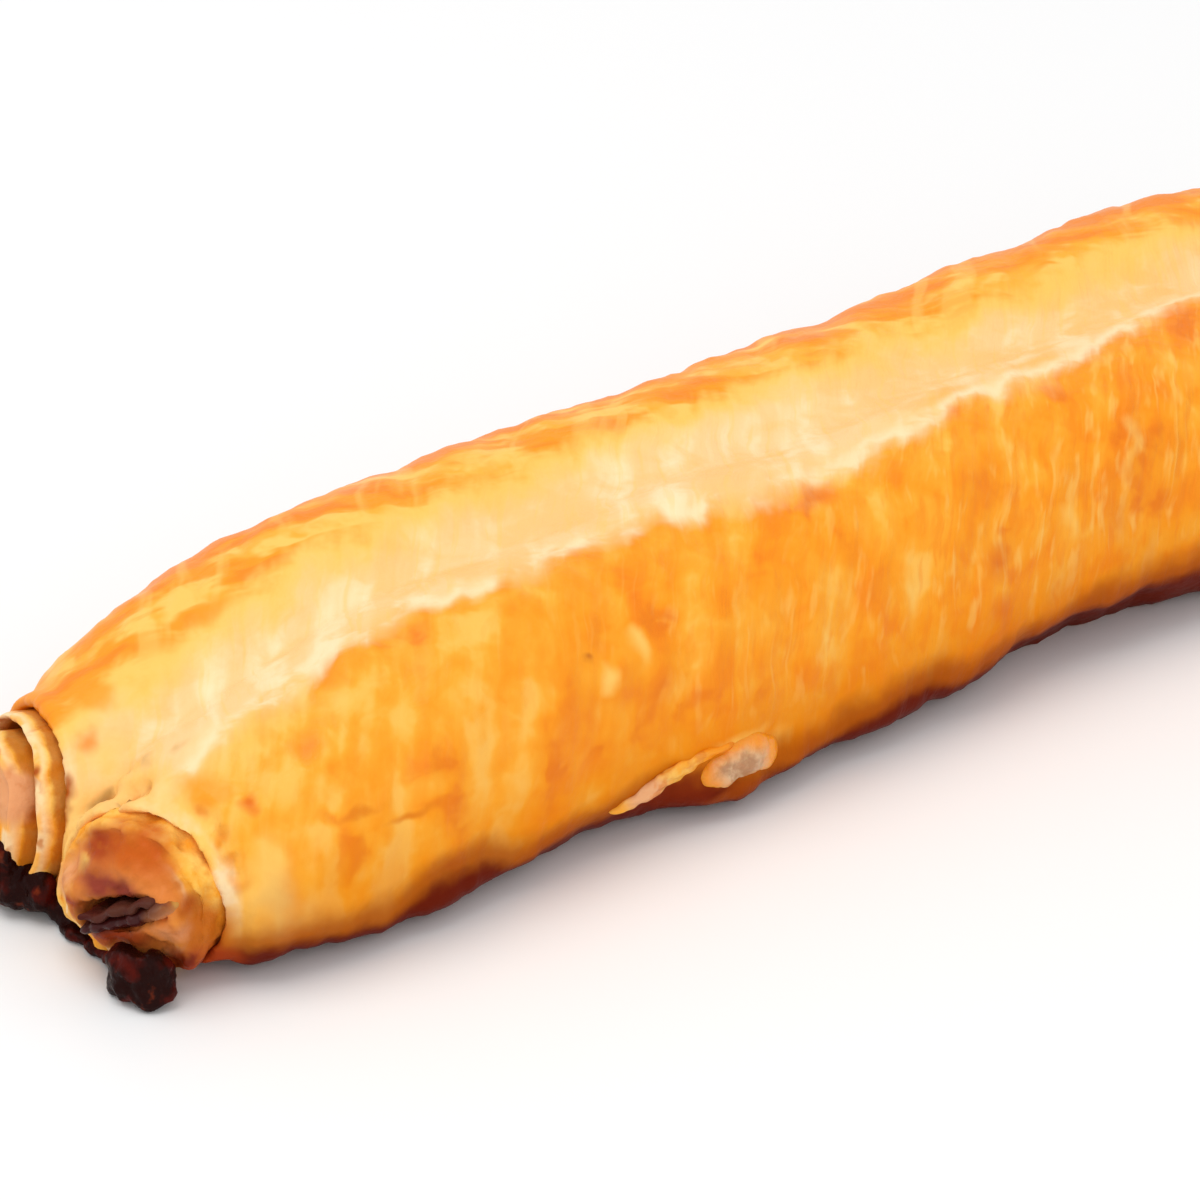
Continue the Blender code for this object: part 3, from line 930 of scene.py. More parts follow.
# How high the dark edge of the base reaches on the front: (place along the pastry, height).
DARK_BASE = (
    (-116, 3.4), (-104, 4), (-95, 3.6), (-88, 3.4), (-82, 4.4), (-76, 5.6), (-70, 4.2), (-62, 3),
    (-54, 3.2), (-46, 4.6), (-38, 4.6), (-30, 3.4), (-22, 3.2), (-14, 4.8), (-5, 5.4), (3, 4),
    (12, 4), (20, 5.8), (32, 7), (42, 6.6), (60, 7), (80, 5.2), (100, 5), (116, 4),
)
# Patches of colour at the melted end, on its layers and the skin's lip: centre, radii, softness, shade.
END_PATCHES = (
    ((-112.8, -14.5, 11), (7, 11.5, 10), 0.4, TOASTED),
    ((-111.2, -14.8, 16.4), (6, 8.5, 3.6), 0.7, SCORCHED_ORANGE),
    ((-113.4, -10.4, 15.4), (4, 3.6, 3.4), 0.9, BRICK),
    ((-115.8, -6.4, 10.4), (4, 3.8, 3.8), 0.9, PINK_TAN),
    ((-108, -22.8, 8), (6, 4.6, 5.6), 0.7, AMBER_BROWN),
    ((-108, -20.6, 3.8), (8, 7, 3.8), 0.7, BRICK),
    ((-110, -22, 4.6), (3, 2.6, 1.6), 1, DARK_TOAST),
)
# Further patches on the layers alone, at all the ends; a few are painted shade in creases.
LAYER_PATCHES = (
    ((-115.4, -9.5, 13), (3, 2, 1.4), 1, PALE_GOLD),
    ((-114.8, -13.8, 12), (4, 7.2, 2.6), 0.7, HAM_PURPLE),
    ((-115.4, -14.8, 6.6), (5, 8, 3.2), 0.8, BRICK),
    ((-117, -8.8, 8.8), (3, 2.8, 2.4), 0.9, BRICK),
    ((-116, -11.8, 7.4), (4, 4, 2.4), 0.8, HAM_DARK),
    ((-115.6, -15.4, 9.4), (4, 4, 2.3), 0.8, HAM_DARK),
    ((-114.4, -19, 11.6), (4, 3.4, 1.9), 0.8, HAM_DARK),
    ((-109.5, -21.8, 11.4), (2.6, 2.6, 2.4), 1, BURNT_ORANGE),
    ((-112.1, -21.6, 8.7), (3, 2.8, 2.2), 0.6, CRUMB),
    ((-106.5, -20.2, 15.8), (3, 2.6, 2.6), 0.9, PALE_GOLD),
    ((-114.5, 8.5, 14), (4, 6, 4.5), 0.5, PINK_TAN),
    # Painted shade in the creases between the back roll's layers at the near end.
    ((-111.4, 5.6, 17.8), (1.4, 1.4, 2.4), 0.8, BURNT_ORANGE),
    ((-112.1, 5, 15.4), (1.4, 1.4, 2.4), 0.8, BURNT_ORANGE),
    ((-112.6, 4.6, 13), (1.4, 1.4, 2.4), 0.8, BURNT_ORANGE),
    ((114.5, -17.5, 13.5), (5, 5.5, 4), 1, SCORCHED_ORANGE),
    ((114.5, -10, 7), (5, 5, 4), 1, AMBER),
    ((114.5, 15.5, 14.5), (5, 5, 4), 1, AMBER),
    ((114.5, 11, 5.5), (6, 7.5, 4.5), 0.9, BRICK),
)
# Patches on the skin itself: centre, radii, softness, strength and shade. Some are painted shade, in
# creases and gaps and under the torn fold.
SKIN_PATCHES = (
    ((-102.6, -16.2, 21.6), (4.4, 4.5, 1.8), 0.8, 0.85, ORANGE),
    ((-100.8, -25.2, 13.5), (5, 4, 8), 0.9, 0.8, PALE_GOLD),
    ((-99.5, -26, 10), (5, 4, 6), 1, 0.5, BEIGE),
    ((-104.5, 1.5, 19), (5, 4, 5), 1, 0.7, STRAW),
    # Painted shade in the gap between the two rolls' near ends.
    ((-109.6, 2, 17), (1.7, 1.7, 2), 0.8, 1, BURNT_ORANGE),
    ((-110, 1.4, 15.4), (1.7, 1.7, 2), 0.8, 1, BURNT_ORANGE),
    ((-110.7, 0.8, 13.6), (1.7, 1.7, 2), 0.8, 1, BURNT_ORANGE),
    # Painted shade along the fold behind the melted end's lip.
    ((-104, -17.2, 20.3), (1.2, 2, 1.2), 0.9, 0.7, AMBER),
    ((-103.9, -20.4, 18.3), (1.2, 2, 1.6), 0.9, 0.7, AMBER),
    ((-103.8, -22.4, 15.9), (1.2, 2, 1.8), 0.9, 0.7, AMBER),
    ((-103.7, -23.8, 13.4), (1.2, 2, 1.8), 0.9, 0.5, AMBER),
    # Painted shade in the creases on the front roll near its end, and along the folds in the valley that
    # run into them.
    ((-109.8, -7.5, 18.6), (1.6, 1.4, 1), 0.8, 0.8, OLIVE_BROWN),
    ((-107.8, -7.7, 19.2), (1.6, 1.4, 1), 0.8, 0.9, OLIVE_BROWN),
    ((-106, -8.3, 20), (1.6, 1.4, 1), 0.8, 0.8, OLIVE_BROWN),
    ((-104.4, -2.6, 18.4), (1.8, 2, 1.2), 0.9, 0.6, BEIGE),
    ((-103.6, -5.6, 21), (1.8, 2, 1.2), 0.9, 0.6, BEIGE),
    ((-100.8, -8, 23.6), (2.4, 1.6, 1.2), 0.9, 0.6, BEIGE),
    ((-96, -26, 13), (3, 4, 4), 1, 0.8, GOLD),
    ((-100, -20.9, 21.2), (2.2, 1.9, 1.8), 0.9, 0.9, RUST),
    ((-91.1, -19.5, 24.9), (3.4, 2.6, 2.4), 1, 0.8, DEEP_ORANGE),
    # Painted shade deep in the cleft between the rolls at the near end.
    ((-105, -1.8, 14.6), (5, 2.4, 2.4), 0.7, 0.85, OLIVE_BROWN),
    ((-101.5, 8.8, 22.4), (4, 4.6, 2.6), 0.6, 0.85, ORANGE),
    ((-105, 4.6, 19.6), (2.2, 2.4, 2.6), 0.9, 0.8, DEEP_ORANGE),
    ((-84.7, 8.6, 28.3), (6, 2.8, 3), 0.9, 0.8, ORANGE),
    ((-94, 7, 25), (6, 3.4, 3), 1, 0.8, STRAW),
    ((-88.6, -26.8, 18.6), (4.6, 2.4, 0.9), 0.9, 0.8, AMBER),
    ((-82, -28, 16.2), (4.6, 2.4, 0.9), 0.9, 0.8, AMBER),
    ((-46.5, -24.8, 25.2), (2, 2.6, 2.6), 1, 0.8, PALE_GOLD),
    ((-52, -26.5, 23.2), (2, 2.4, 2.8), 1, 0.9, PALE_GOLD),
    ((-53.9, -24.7, 25.5), (0.9, 0.8, 0.8), 0.8, 0.7, TOAST),
    # Painted shade under the lifted torn fold.
    ((-43, -27.4, 4.4), (8, 3.4, 4.2), 0.5, 0.9, DARK_BRICK),
    ((-34.5, -29.4, 10), (6.5, 2, 1.6), 0.8, 0.7, STRAW),
    ((-34.5, -29, 3), (7, 3, 2), 0.7, 0.8, TOAST),
    ((-13.6, -17.6, 31.2), (4.6, 3, 3), 1, 0.85, RUST),
    ((6.4, -27.2, 20.2), (3.4, 2.2, 4.6), 1, 0.85, RUST),
    ((6.8, -28.6, 13), (3.6, 2.4, 3.4), 1, 0.7, RUST),
    ((26, -26.6, 18), (3, 2.4, 6), 1, 0.5, RUST),
    ((-6.7, -27.2, 19.4), (1.4, 2, 3.4), 1, 0.6, PALE_GOLD),
    ((31.9, -23.5, 27.8), (1.6, 2.4, 4.4), 1, 0.5, PALE_GOLD),
    ((18.6, -26.6, 20.7), (1.6, 2, 3.4), 1, 0.5, PALE_GOLD),
    ((13, -9.4, 33), (7, 2.6, 3), 1, 0.7, GOLD),
    ((28, -9, 32.8), (10, 2.4, 3), 1, 0.6, GOLD),
)


def streaks(f):
    """The marks where the dough stretched round the rolls: their place along it, and three widths."""
    drift = f.sum_of(f.swing(f.noise(f.place, 30), 2.5), f.swing(f.noise(f.place, 8), 1.6))
    lean = f.sum_of(f.times(f.y, 0.7), f.times(f.z, 0.1))
    along = f.less(f.sum_of(f.x, drift), lean)
    widths = []
    kinds = ((0.09, 1.3, 2.5, 0.55), (0.2, 4.5, 2.5, 0.5), (0.36, 2.0, 2, 0.5))
    for stretch, size, detail, roughness in kinds:
        flow = f.together(along, f.times(f.y, stretch), f.times(f.z, stretch))
        widths.append(f.noise(flow, size, detail, roughness))
    return along, *widths


def flank_colour(f, fine, broad, short, proud):
    """The flanks: gold and orange patches and short pale strokes, amber lower down, partly browning and
    partly painted shade.
    """
    blotch = f.noise(f.wander(9, 4), 10, 3)
    dapple = f.noise(f.wander(5, 3), 5, 2.5, 0.45)
    cloud = f.noise(f.place, 24)
    patchy = f.sum_of(f.times(broad, 0.35), f.times(blotch, 0.35), f.times(dapple, 0.3))
    patchy = f.less(f.sum_of(patchy, f.times(proud, 0.16)), f.between(f.x, -50, -85, 0.085))
    f.coat = f.blend(f.between(patchy, 0.37, 0.54), GOLD, ORANGE)
    f.lay(DEEP_ORANGE, f.between(patchy, 0.50, 0.62, 0.75))
    f.lay(PALE_GOLD, f.between(patchy, 0.44, 0.34, 0.5))
    far_half = f.between(f.sum_of(f.x, f.swing(cloud, 60)), -60, 10)
    f.lay(PALE_GOLD, f.times(f.between(short, 0.54, 0.72), f.scaled(far_half, 0.4, 0.08)))
    f.lay(DEEP_ORANGE, f.times(f.between(short, 0.46, 0.34), f.scaled(far_half, 0.35, 0.1)))
    line = f.times(f.between(fine, 0.58, 0.74), f.between(cloud, 0.42, 0.6))
    f.lay(PALE_GOLD, f.times(line, f.scaled(far_half, 0.35, 0.1)))
    f.lay(RUST, f.times(f.between(blotch, 0.58, 0.70, 0.5), f.between(dapple, 0.44, 0.60)))
    # Amber lower on the flanks: partly browning, partly painted shade where the roll turns under, away from
    # the light.
    low = f.between(f.sum_of(f.z, f.swing(broad, 5)), 18, 5)
    f.lay(AMBER, f.times(low, f.scaled(far_half, 0.5, 0.5)))
    f.lay(STRAW, f.between(proud, -0.05, -0.35, 0.5))
    return f.coat, dapple


def valley_colour(f, along, fine, broad, dapple):
    """The pale dough between the rolls, and how much of it shows at each place."""
    edge = f.drawn_line(FRONT_EDGE, -30, 30)
    lobe = f.maths("ABSOLUTE", f.swing(f.noise(f.together(along, 0.0, 0.0), 12), 8))
    ripple = f.times(f.swing(fine, 1.0), f.between(f.x, -60, 10))
    reach = f.less(f.sum_of(f.less(f.y, edge), ripple, f.swing(dapple, 2.2), 1.3), lobe)
    blotch = f.noise(f.wander(9, 4), 12, 4, 0.6)
    f.coat = f.blend(f.between(broad, 0.42, 0.68), CREAM, PALE_CREAM)
    f.lay(PEACH, f.times(f.sum_of(f.between(blotch, 0.44, 0.62), f.between(f.x, 0, 70, 0.5)), 0.7))
    f.lay(STRAW, f.between(fine, 0.46, 0.34, 0.3))
    # A pale cream rim along the edge of the orange: pale dough, and partly a painted highlight on the
    # edge's slight rise.
    rim = f.times(f.between(reach, 4.0, 1.4), f.between(reach, -0.6, 1.0))
    f.lay(PALE_CREAM, f.times(rim, f.between(blotch, 0.58, 0.44, 0.75)))
    soft = f.scaled(f.between(blotch, 0.36, 0.62), 2.6, 1.5)
    shown = f.between(reach, f.times(soft, -1.0), soft)
    return f.coat, f.times(shown, f.between(f.z, 7, 12))


def back_colour(f, broad, dapple):
    """The back roll's top: straw and gold, with orange strokes along the roll."""
    turned = f.mapped(f.wander(12, 4), rotation=(0, 0, 0.35))
    stroke = f.noise(f.mapped(turned, scale=(0.28, 1, 0.6)), 5, 3, 0.55)
    stroke = f.sum_of(stroke, f.between(f.y, 8, 20, 0.13))
    f.coat = f.blend(f.between(dapple, 0.4, 0.6), STRAW, GOLD)
    f.lay(ORANGE, f.between(stroke, 0.44, 0.56))
    f.lay(DEEP_ORANGE, f.between(stroke, 0.56, 0.66, 0.8))
    f.lay(PALE_GOLD, f.between(broad, 0.56, 0.68, 0.4))
    return f.coat


def crust_finish():
    """Egg-washed puff pastry: cream in the valley, orange and streaked on the flanks, dark at the base."""
    f = Finish("baked crust", 0.42, 0.3)
    along, fine, broad, short = streaks(f)
    proud = f.read("proud")
    flank, dapple = flank_colour(f, fine, broad, short, proud)
    cream, open_valley = valley_colour(f, along, fine, broad, dapple)
    slow = f.noise(f.wander(9, 4), 11, 4, 0.6)
    margin = f.sum_of(f.y, f.swing(broad, 3.5), f.swing(slow, 4.5))
    cream = f.blend(f.between(margin, 2.0, 8.0), cream, STRAW)
    cream = f.blend(f.between(margin, 6.5, 10.5), cream, back_colour(f, broad, dapple))
    cream = f.blend(f.times(f.between(f.y, 14, 19), f.between(f.z, 27, 20)), cream, flank)
    f.coat = f.blend(open_valley, flank, cream)
    inset = f.read("inset")
    at_lip = f.between(inset, 15, 7)
    f.lay(f.blend(f.between(broad, 0.4, 0.6), STRAW, GOLD), f.times(at_lip, 0.6))
    band = f.between(f.sum_of(inset, f.swing(short, 1.6)), 3.8, 1.0, 0.9)
    pale = f.blend(f.between(slow, 0.4, 0.6), PALE_CREAM, PALE_GOLD)
    f.lay(pale, f.times(band, f.between(f.y, -10, -20)))
    # Painted shade in the gap where the back roll's end meets the melted end.
    gap_shade = f.between(f.sum_of(inset, f.swing(slow, 1.0)), 1.8, 0.4, 0.8)
    f.lay(BURNT_ORANGE, f.times(gap_shade, f.between(f.y, -1, 3)))
    # The base, where the dough fried on the tray.
    foot = f.sum_of(f.z, f.swing(f.noise(f.place, 6, 3), 2.2))
    foot = f.less(foot, f.drawn_line(DARK_BASE, 0, 10))
    f.lay(TOAST, f.between(foot, 6.4, 1.8, 0.8))
    f.lay(DARK_TOAST, f.between(foot, 2.0, -0.8))
    under = f.between(f.noise(f.wander(6, 3), 7, 4, 0.6), 0.4, 0.6)
    f.lay(f.blend(under, BURNT_ORANGE, TOAST), f.between(f.z, 0.12, 0.02))
    baked = f.wander(5, 2)
    for centre, radii, soft, strength, shade in SKIN_PATCHES:
        f.lay(shade, f.spot(baked, centre, radii, soft, strength))
    for centre, radii, soft, shade in END_PATCHES:
        f.lay(shade, f.times(f.spot(baked, centre, radii, soft), at_lip))
    # Painted shade in the hollows of the melted end's folds.
    f.lay(AMBER_BROWN, f.times(f.between(proud, -0.35, -1.0, 0.7), at_lip))

    drawn = f.scaled(f.between(f.x, -70, -10), 0.2, 0.1)
    raised = f.sum_of(f.times(fine, drawn), f.times(short, drawn), f.times(dapple, 0.3))
    raised = f.sum_of(raised, f.times(f.noise(f.place, 2.0, 3), 0.25))
    normal = f.bump(f.noise(f.place, 1.1), 0.05, f.bump(raised, 0.6))
    shine = f.scaled(f.between(f.z, 6, 22), 0.2, 0.03)
    rough = f.scaled(slow, 0.3, 0.26)
    f.wear(Base_Color=f.coat, Normal=normal, Roughness=rough, Specular_IOR_Level=shine)
    return f.material


def burnt_finish():
    """Cheese fat and cheese burnt nearly black, dark red where it is thin, and glossy."""
    f = Finish("burnt cheese", 0.3, 0.06)
    patch = f.noise(f.wander(4, 2), 4.5, 3)
    f.coat = f.blend(f.between(patch, 0.46, 0.62), CHAR, GARNET)
    f.blotched(SCORCHED, 2.4, 0.60, 0.74, 0.5)
    f.wear(Roughness=f.scaled(patch, 0.5, 0.08))
    return f.done(f.noise(f.place, 0.9, 4), 0.25)


def fried_finish():
    """The thin fried edge: dark red-brown, paler where it flaked."""
    f = Finish("fried edge", 0.4, 0.15)
    f.coat = f.blend(f.between(f.noise(f.place, 3.0, 4, 0.6), 0.46, 0.66), DARK_TOAST, TOAST)
    f.blotched(CRUMB, 7, 0.58, 0.68, 0.6)
    return f.done(f.noise(f.place, 0.8, 4), 0.25)


def leak_finish():
    """Melted cheese that set pale and slightly clear."""
    f = Finish("set cheese", 0.3, 0.5)
    patch = f.noise(f.wander(3, 1), 3.0, 4, 0.6)
    cheese = f.blend(f.between(patch, 0.40, 0.62), MILKY, CLOUDY)
    middle = f.spot(f.wander(3, 1.5), (-34.8, -30, 6.8), (5.4, 4, 3.2), 0.6)
    f.coat = f.blend(middle, ORANGE, cheese)
    f.lay(TOAST, f.between(f.z, 5.0, 3.2))
    f.wear(Subsurface_Weight=0.25, Subsurface_Scale=0.002)
    return f.done(patch, 0.3)


def fold_finish():
    """The torn skin over the leak: pale, with a pinkish spot that is partly a painted highlight, toasted in
    places.
    """
    f = Finish("torn skin", 0.4, 0.3)
    patch = f.noise(f.wander(3, 1), 2.6, 3)
    f.coat = f.blend(f.between(patch, 0.40, 0.60), GOLD, STRAW)
    # A pale pink spot on the fold's left part: pinkish dough, and partly a painted highlight on the ridge.
    f.lay(ROSE_CREAM, f.spot(f.place, (-47.6, -28, 6.6), (4, 3, 3), 0.6))
    f.lay(ORANGE, f.between(f.x, -43, -38))
    f.blotched(AMBER, 2.6, 0.50, 0.62, 0.6)
    return f.done(patch, 0.25)


def ham_finish():
    """Cooked ham: pink, browned to purple and dark red where it came out of the dough."""
    f = Finish("ham", 0.5, 0.12)
    f.coat = f.blend(f.between(f.noise(f.wander(4, 1.5), 3.2, 4, 0.6), 0.40, 0.60), HAM_PINK, HAM_TAN)
    f.blotched(HAM_BROWN, 4.5, 0.48, 0.62)
    f.lay(HAM_DARK, f.spot(f.wander(4, 1.5), (-114, -16.5, 8.5), (8, 13, 9), 0.3, 0.95))
    f.lay(HAM_PURPLE, f.spot(f.place, (-115, -9, 7), (3, 4.0, 3), 0.6))
    return f.done(f.noise(f.place, 1.0, 4), 0.2)


def cheese_finish():
    """Melted cheese in the mouths: cream, toasted to amber and dark red at the front."""
    f = Finish("melted cheese", 0.4, 0.2)
    patch = f.noise(f.place, 3.0, 3)
    f.coat = f.blend(f.between(patch, 0.40, 0.58), STRAW, AMBER)
    f.blotched(TOAST, 5, 0.5, 0.62)
    f.lay(HAM_DARK, f.spot(f.wander(4, 1.5), (-114, -13, 7), (8, 16, 11), 0.3))
    f.lay(CRUMB, f.spot(f.place, (-112.6, -22, 10.6), (4, 3.4, 3), 1.0))
    return f.done(patch, 0.3)


def layer_finish():
    """The inner layers at the ends: gold dough with painted shade in its folds and at their roots, browner
    where it is thinnest.
    """
    f = Finish("inner dough", 0.45, 0.12)
    blotch = f.noise(f.wander(4, 2), 4, 4, 0.6)
    proud, inset = f.read("proud"), f.read("inset")
    f.coat = f.blend(f.between(blotch, 0.4, 0.6), STRAW, GOLD)
    f.blotched(ORANGE, 8, 0.5, 0.66, 0.6)
    f.lay(PALE_CREAM, f.times(f.between(inset, 1.4, 0.5, 0.8), f.between(inset, -0.2, 0.1)))
    face = f.between(inset, 1.0, 0.2)
    f.lay(GOLD, f.times(face, f.between(f.noise(f.wander(5, 2), 5, 3), 0.42, 0.56, 0.8)))
    f.lay(AMBER_BROWN, f.times(face, f.between(f.noise(f.wander(3, 2), 3.6, 3), 0.54, 0.68, 0.7)))
    # Painted shade in the hollows of the folds.
    f.lay(TOAST, f.between(proud, -0.1, -0.5, 0.7))
    # Painted shade at the roots of the back roll's layers, where each comes out from under the one round
    # it.
    root_shade = f.between(f.sum_of(inset, f.swing(blotch, 0.8)), 0.9, 2.1, 0.7)
    f.lay(BURNT_ORANGE, f.times(root_shade, f.between(f.y, -3, 1)))
    baked = f.wander(5, 2)
    for centre, radii, soft, shade in END_PATCHES + LAYER_PATCHES:
        f.lay(shade, f.spot(baked, centre, radii, soft))
    f.blotched(AMBER_BROWN, 2.4, 0.52, 0.70, 0.35)
    return f.done(f.noise(f.place, 1.6, 4), 0.3)


def mouth_place(side, end, inside):
    """The middle of a roll's mouth, some way in from its edge."""
    y, z = roll_middle(RIM_X[side, end], side)
    x = RIM_X[side, end] + end * (LAYERS_OUT[side, end][1] + sum(MOUTH_BULGE[side, end]) - inside)
    across, up = MOUTH_SHIFT[side, end]
    return Vector((x, y + across, z + up))


def turned_to_mouth(piece, side, end):
    """Tilts a filling with its mouth and applies its place."""
    middle = mouth_place(side, end, 0)
    active(piece)
    bpy.ops.transform.rotate(value=-side * MOUTH_TILT, orient_axis="X", center_override=middle)
    turn(side, end, LAYER_TURN)
    keep_place()


def ham_slice(side, end, noise):
    """One end of the ham: a folded slice that comes out of the mouth with a wavy edge."""
    length, width = 8 * MM, 1.7 * MOUTH_HALF_WIDTH
    middle = mouth_place(side, end, length / 2 - HAM_REACH)
    middle.z += 0.3 * MOUTH_HALF_HEIGHT[side, end]
    nothing_selected()
    bpy.ops.mesh.primitive_grid_add(x_subdivisions=6, y_subdivisions=12, size=1, location=middle)
    piece = bpy.context.object
    piece.scale = (length, width, 1)
    keep_place()
    edit()
    edge = middle.x + end * length / 2
    for step in range(13):
        y = middle.y + width * (step / 12 - 0.5)
        choose(piece, lambda point: abs(point.y - y) < 0.1 * MM)
        push(z=0.35 * MM * math.sin(step * 1.3 + side))
        choose(piece, lambda point: abs(point.y - y) < 0.1 * MM and abs(point.x - edge) < 1.0 * MM)
        push(x=end * noise.uniform(-0.8, 0.5) * MM, z=noise.uniform(-0.4, 0.4) * MM)
    bpy.ops.object.mode_set(mode="OBJECT")
    apply(piece, "SOLIDIFY", thickness=1.0 * MM, offset=0)
    rounded(piece)
    turned_to_mouth(piece, side, end)
    return piece


def ham(side, noise):
    piece = joined("ham_slices_" + SIDE_NAMES[side], [ham_slice(side, end, noise) for end in (NEAR, FAR)])
    relief(piece, "ham grain", 2.0 * MM, 0.4 * MM)
    smooth_shaded(piece)
    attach(piece, BODY)
    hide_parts("ham_" + SIDE_NAMES[side])
    return piece


def melted_cheese(side, noise):
    """Cheese along the bottom of both mouths, melted into runny lumps."""
    pieces = []
    for end in (NEAR, FAR):
        middle = mouth_place(side, end, 1.2 * MM) / MM
        low = middle.z - 0.5 * MOUTH_HALF_HEIGHT[side, end] / MM
        places = []
        for step in range(7):
            across = mix(-0.85, 0.85, step / 6) * MOUTH_HALF_WIDTH / MM
            x = middle.x + end * noise.uniform(-0.2, 0.7)
            centre = (x, middle.y + across, low + noise.uniform(-0.2, 0.2))
            places.append((centre, (2.8, noise.uniform(1.3, 1.7), noise.uniform(0.8, 1.2))))
        piece = lumps("melted_cheese", places, 0.3 * MM)
        turned_to_mouth(piece, side, end)
        pieces.append(piece)
    piece = joined("melted_cheese_" + SIDE_NAMES[side], pieces)
    relief(piece, "cheese bubbles", 1.6 * MM, 0.4 * MM)
    smooth_shaded(piece)
    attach(piece, BODY)
    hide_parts("cheese_" + SIDE_NAMES[side])
    return piece


def lumps(name, places, voxel):
    """Rounded lumps run together into one piece: each is a centre and its radii in millimetres."""
    nothing_selected()
    balls = []
    for centre, radii in places:
        bpy.ops.mesh.primitive_ico_sphere_add(
            subdivisions=3,
            radius=1,
            location=[value * MM for value in centre],
            scale=[value * MM for value in radii],
        )
        balls.append(bpy.context.object)
        keep_place()
    piece = joined(name, balls)
    apply(piece, "REMESH", mode="VOXEL", voxel_size=voxel)
    smoothed(piece, 4)
    return piece


def burnt_cheese(end):
    """Cheese that ran out of the mouths of one end and burnt to a glossy crust."""
    name = "burnt_cheese_" + END_NAMES[end]
    piece = lumps(name + "_crust", BURNT_LUMPS[end], 0.45 * MM)
    relief(piece, "craggy", 2.8 * MM, 1.8 * MM)
    relief(piece, "bubbled", 1.4 * MM, 0.5 * MM)
    pressed_flat(piece)
    smooth_shaded(piece)
    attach(piece, BODY)
    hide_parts(name)
    return piece


def cheese_leak():
    """Melted cheese that came through a tear low on the front side."""
    piece = lumps("cheese_leak_blob", LEAK_LUMPS, 0.3 * MM)
    relief(piece, "set folds", 2.6 * MM, 0.6 * MM)
    smooth_shaded(piece)
    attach(piece, BODY)
    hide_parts("cheese_leak")
    return piece


def torn_fold():
    """The thin edge of skin that lifted above the leak."""
    piece = lumps("torn_fold", TORN_FOLD_LUMPS, 0.25 * MM)
    relief(piece, "creased edge", 2.6 * MM, 0.6 * MM)
    smooth_shaded(piece)
    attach(piece, BODY)
    return piece


def base_line(x, side):
    """How far across the roll's base reaches at x, out to its dark edge."""
    y, _ = roll_middle(x, side)
    return y + side * (BASE_REACH * roll_half_width(x, side) + base_spread(x, side))


def fried_edge(side, noise):
    """The thin dark edge that fried along the base, ragged and wider where the dough spread."""
    near, far = RIM_X[side, NEAR] + 9 * MM, RIM_X[side, FAR] - 6 * MM
    places = spread(near, far, 2.6 * MM)
    y = base_line(places[0], side)
    level = 0.7 * MM
    start = (places[0], y - side * 1.5 * MM, level)
    nothing_selected()
    bpy.ops.mesh.primitive_circle_add(
        vertices=8, radius=0.8 * MM, location=start, rotation=(0, math.pi / 2, 0)
    )
    piece = bpy.context.object
    piece.name = "fried_edge_" + SIDE_NAMES[side]
    keep_place()
    edit()
    bpy.ops.mesh.edge_face_add()
    width = height = 1
    for x, to_x in zip(places, places[1:]):
        to_width = 1.7 + 0.3 * base_spread(to_x, side) / MM + noise.uniform(-0.5, 0.5)
        to_y = base_line(to_x, side) + side * (noise.uniform(-0.5, 0.5) - 0.8 * to_width) * MM
        to_height = noise.uniform(0.5, 1.3)
        draw_out(to_x - x, to_y - y)
        size_about((to_x, to_y, level), y=to_width / width, z=to_height / height)
        y, width, height = to_y, to_width, to_height
    finish_edit()
    rounded(piece)
    relief(piece, "ragged edge", 3.5 * MM, 1.2 * MM)
    pressed_flat(piece)
    active(piece)
    bpy.ops.transform.translate(value=(0, 0, 0.2 * MM))
    keep_place()
    smooth_shaded(piece)
    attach(piece, BODY)
    return piece


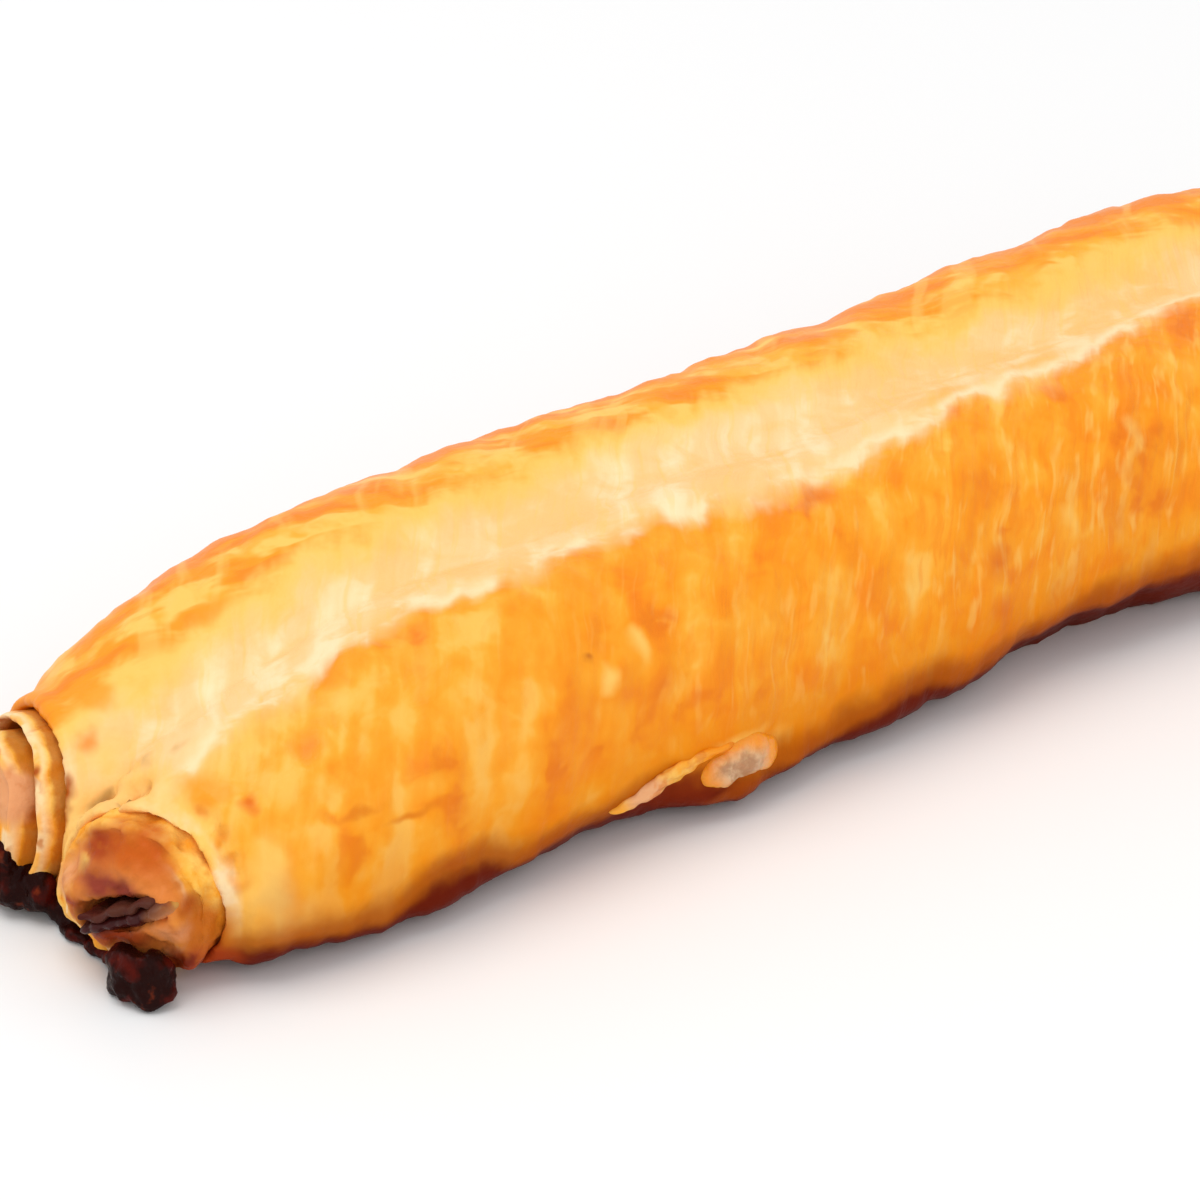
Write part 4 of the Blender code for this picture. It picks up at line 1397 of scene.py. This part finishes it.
def floor_and_light():
    nothing_selected()
    bpy.ops.mesh.primitive_plane_add(size=3, location=(0, 0, -0.0002))
    floor = bpy.context.object
    floor.name = "floor"
    white = Finish("floor", 0.4, 0.5)
    white.wear(Base_Color=(0.92, 0.92, 0.92, 1))
    floor.data.materials.append(white.material)
    world = bpy.data.worlds.new("studio")
    bpy.context.scene.world = world
    world.use_nodes = True
    background = world.node_tree.nodes["Background"]
    background.inputs["Color"].default_value = (1, 1, 1, 1)
    background.inputs["Strength"].default_value = 0.78
    for name, place, size, power in (
        ("key", (-0.25, 0.15, 0.9), 0.7, 3.4),
        ("fill", (-0.3, -0.9, 0.5), 0.8, 1.6),
    ):
        bpy.ops.object.light_add(type="AREA", location=place)
        light = bpy.context.object
        light.name = name
        light.data.size = size
        light.data.energy = power
        light.rotation_mode = "QUATERNION"
        light.rotation_quaternion = Vector(place).to_track_quat("Z", "Y")


def camera():
    azimuth, elevation, distance = math.radians(-38), math.radians(29.0), 0.92
    target = Vector((-0.0338, -0.001, 0.0165))
    level = math.cos(elevation)
    back = Vector((math.sin(azimuth) * level, -math.cos(azimuth) * level, math.sin(elevation)))
    bpy.ops.object.camera_add(location=target + back * distance)
    eye = bpy.context.object
    eye.rotation_mode = "QUATERNION"
    eye.rotation_quaternion = back.to_track_quat("Z", "Y")
    eye.data.sensor_fit = "HORIZONTAL"
    eye.data.angle = math.radians(9.0046)
    eye.data.clip_start = 0.01
    bpy.context.scene.camera = eye


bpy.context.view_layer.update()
camera()
floor_and_light()
bpy.context.scene.view_settings.view_transform = "Standard"
dough = crust_finish()
crust().data.materials.append(dough)

layer = layer_finish()
for side in (FRONT, BACK):
    for end in (NEAR, FAR):
        slid_layers(side, end).data.materials.append(layer)
black = burnt_finish()
for end in (NEAR, FAR):
    burnt_cheese(end).data.materials.append(black)
pink, melted = ham_finish(), cheese_finish()
for side in (FRONT, BACK):
    ham(side, random.Random(11 + side)).data.materials.append(pink)
    melted_cheese(side, random.Random(21 + side)).data.materials.append(melted)
cheese_leak().data.materials.append(leak_finish())
torn_fold().data.materials.append(fold_finish())
fried = fried_finish()
for side in (FRONT, BACK):
    fried_edge(side, random.Random(3 + side)).data.materials.append(fried)
